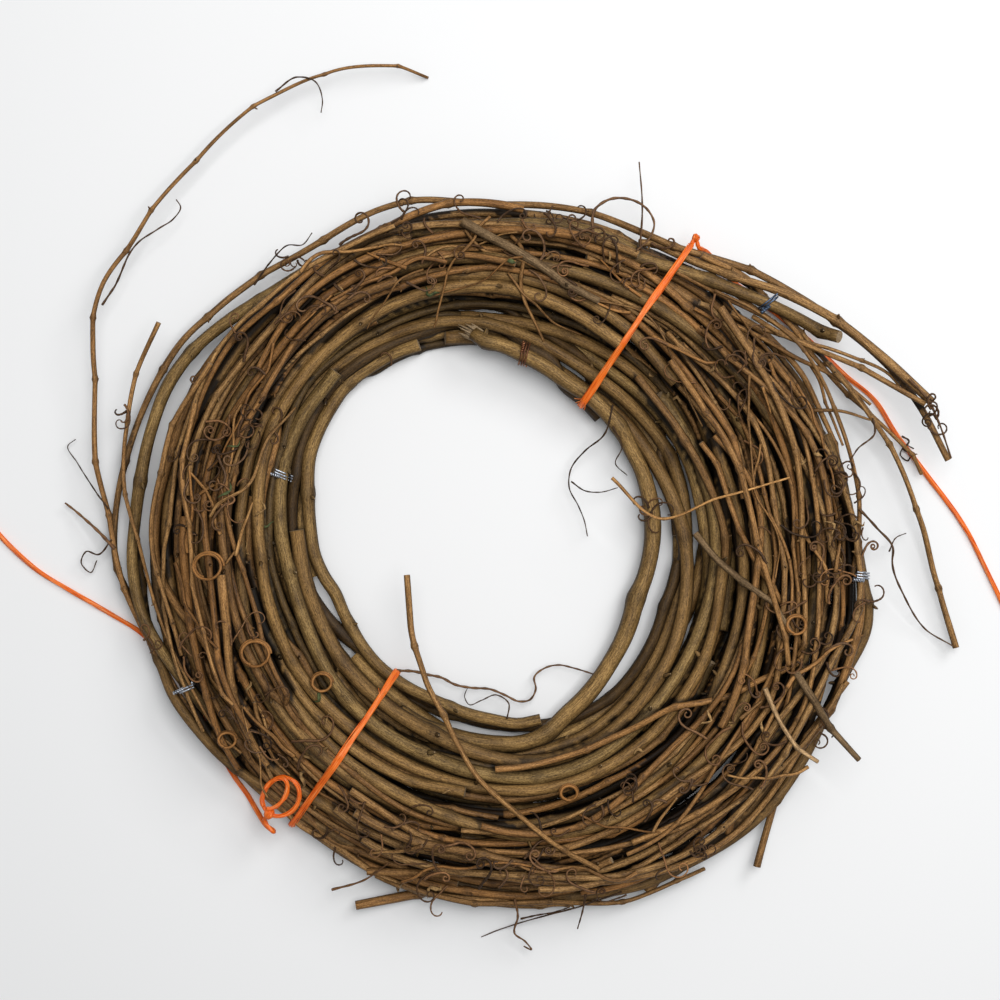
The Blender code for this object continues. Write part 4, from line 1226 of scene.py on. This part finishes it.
def slip_knot():
    """The slip knot: two loops, a lump of tucked turns, and the strand that leads to the left tail."""
    low, high = np.array(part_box("slip_knot"))
    middle = (low + high) / 2
    reach = (high[0] - low[0]) / 2 - 0.0016
    out, side = radial_frame(TIE_AZIMUTHS["lower_tie"])
    skein = Skein()
    start = math.radians(TIE_AZIMUTHS["lower_tie"])
    for shift, scale, rise, squeeze in ((0.0, 1.0, 0.0, 0.86), (0.0045, 0.84, 0.002, 0.6)):
        turn = np.linspace(start + 0.15, start + TURN - 0.15, 30)
        loop = [middle - side * shift + out * reach * scale * math.cos(t - start)
                + side * reach * scale * squeeze * math.sin(t - start)
                + np.array((0, 0, rise + 0.0008 * math.sin(2 * t))) for t in turn]
        knot_strand(skein, loop, 0.0014)
    lump = middle + out * reach
    for tilt in (0.3, -0.5, 1.2):
        tucked_turns(skein, lump, "lower_tie", tilt, 1.3, 18, (0.0026, 0.0026), 0.0, 0.0013)
    drop = 0.004 * UP
    down = [lump, lump + out * 0.006 - drop, left_path[0] + drop, left_path[0], left_path[2]]
    knot_strand(skein, down, 0.00145)
    skein.build("slip_knot_twine", [TWINE], "orange_twine", ["slip_knot"])


for name in TIE_AZIMUTHS:
    tie(name)
upper_knot()
slip_knot()


WIRE_RADIUS = 0.0006
WIRE_AZIMUTHS = {"steel_wire_right": 355.5, "steel_wire_left": 205.5, "steel_wire_inner": 160.5,
                 "copper_wire": 78.0, "blue_wire": 40.5}
WIRE_LOOKS = {"copper_wire": (COPPER, "copper_wire"), "blue_wire": (BLUE_STEEL, "steel_wire")}


def wire(name):
    """Wire wound round the canes that it holds, with its ends twisted together on top."""
    points, outline, outward, along_ring = section_of(name, WIRE_AZIMUTHS[name])
    width = np.ptp((points - RING_AXIS) @ along_ring)
    gauge = WIRE_RADIUS
    middle = (outline.max(axis=0) + outline.min(axis=0)) / 2
    closed = closed_line(outline, middle, gauge)
    lengths = lengths_along(closed)
    turns = 3 if width > 0.005 else 2
    places = np.linspace(0, turns, turns * 40)
    loop = at_places((places % 1.0) * lengths[-1], lengths, closed)
    sideways = (places / turns - 0.5) * (width - 2 * gauge)
    path = RING_AXIS + loop[:, :1] * outward + loop[:, 1:] * UP + sideways[:, None] * along_ring
    over = np.minimum(top_of_pile(path) + gauge, HIGHEST)
    path[:, 2] = np.where(path[:, 2] > middle[1], np.maximum(path[:, 2], over), path[:, 2])
    skein = Skein()
    skein.tube(path, gauge, 8)
    top = path[np.argmax(path[:, 2])]
    twist = np.linspace(0, 1, 30)[:, None]
    for phase in (0.0, math.pi):
        swirl = np.cos(twist * 14 + phase) * along_ring + np.sin(twist * 14 + phase) * UP
        ends = top + outward * (twist - 0.3) * 0.007 + gauge * 1.05 * swirl + np.array((0, 0, gauge * 1.2))
        skein.tube(ends, gauge, 7)
    look, slot = WIRE_LOOKS.get(name, (STEEL, "steel_wire"))
    skein.build(name + "_turns", [look], slot, [name])


for name in WIRE_AZIMUTHS:
    wire(name)


# ---- floor and light ----------------------------------------------------------------------------
def floor():
    """A plain pale table top."""
    mesh = bpy.data.meshes.new("floor")
    reach = 3.0
    corners = [(-reach, -reach, 0), (reach, -reach, 0), (reach, reach, 0), (-reach, reach, 0)]
    mesh.from_pydata(corners, [], [(0, 1, 2, 3)])
    mesh.materials.append(Shader("table_white", Base_Color=(0.87, 0.87, 0.87, 1.0), Roughness=0.65).material)
    table = bpy.data.objects.new("floor", mesh)
    bpy.context.scene.collection.objects.link(table)


def area_light(name, place, target, size, power):
    """A square soft light aimed at a point."""
    data = bpy.data.lights.new(name, "AREA")
    data.size = size
    data.energy = power
    light = bpy.data.objects.new(name, data)
    bpy.context.scene.collection.objects.link(light)
    light.location = place
    aim = np.subtract(target, place)
    tilt = math.acos(-aim[2] / np.linalg.norm(aim))
    light.rotation_euler = (tilt, 0, math.atan2(aim[1], aim[0]) - math.pi / 2)


floor()
area_light("window", (1.0, 1.0, 1.3), (0, 0, 0), 0.8, 11.5)
area_light("ceiling", (0.3, 0.35, 2.0), (0, 0, 0), 1.3, 29.5)
world = bpy.data.worlds.new("studio")
world.use_nodes = True
world.node_tree.nodes["Background"].inputs["Color"].default_value = (0.96, 0.98, 1.0, 1.0)
world.node_tree.nodes["Background"].inputs["Strength"].default_value = 0.28
bpy.context.scene.world = world
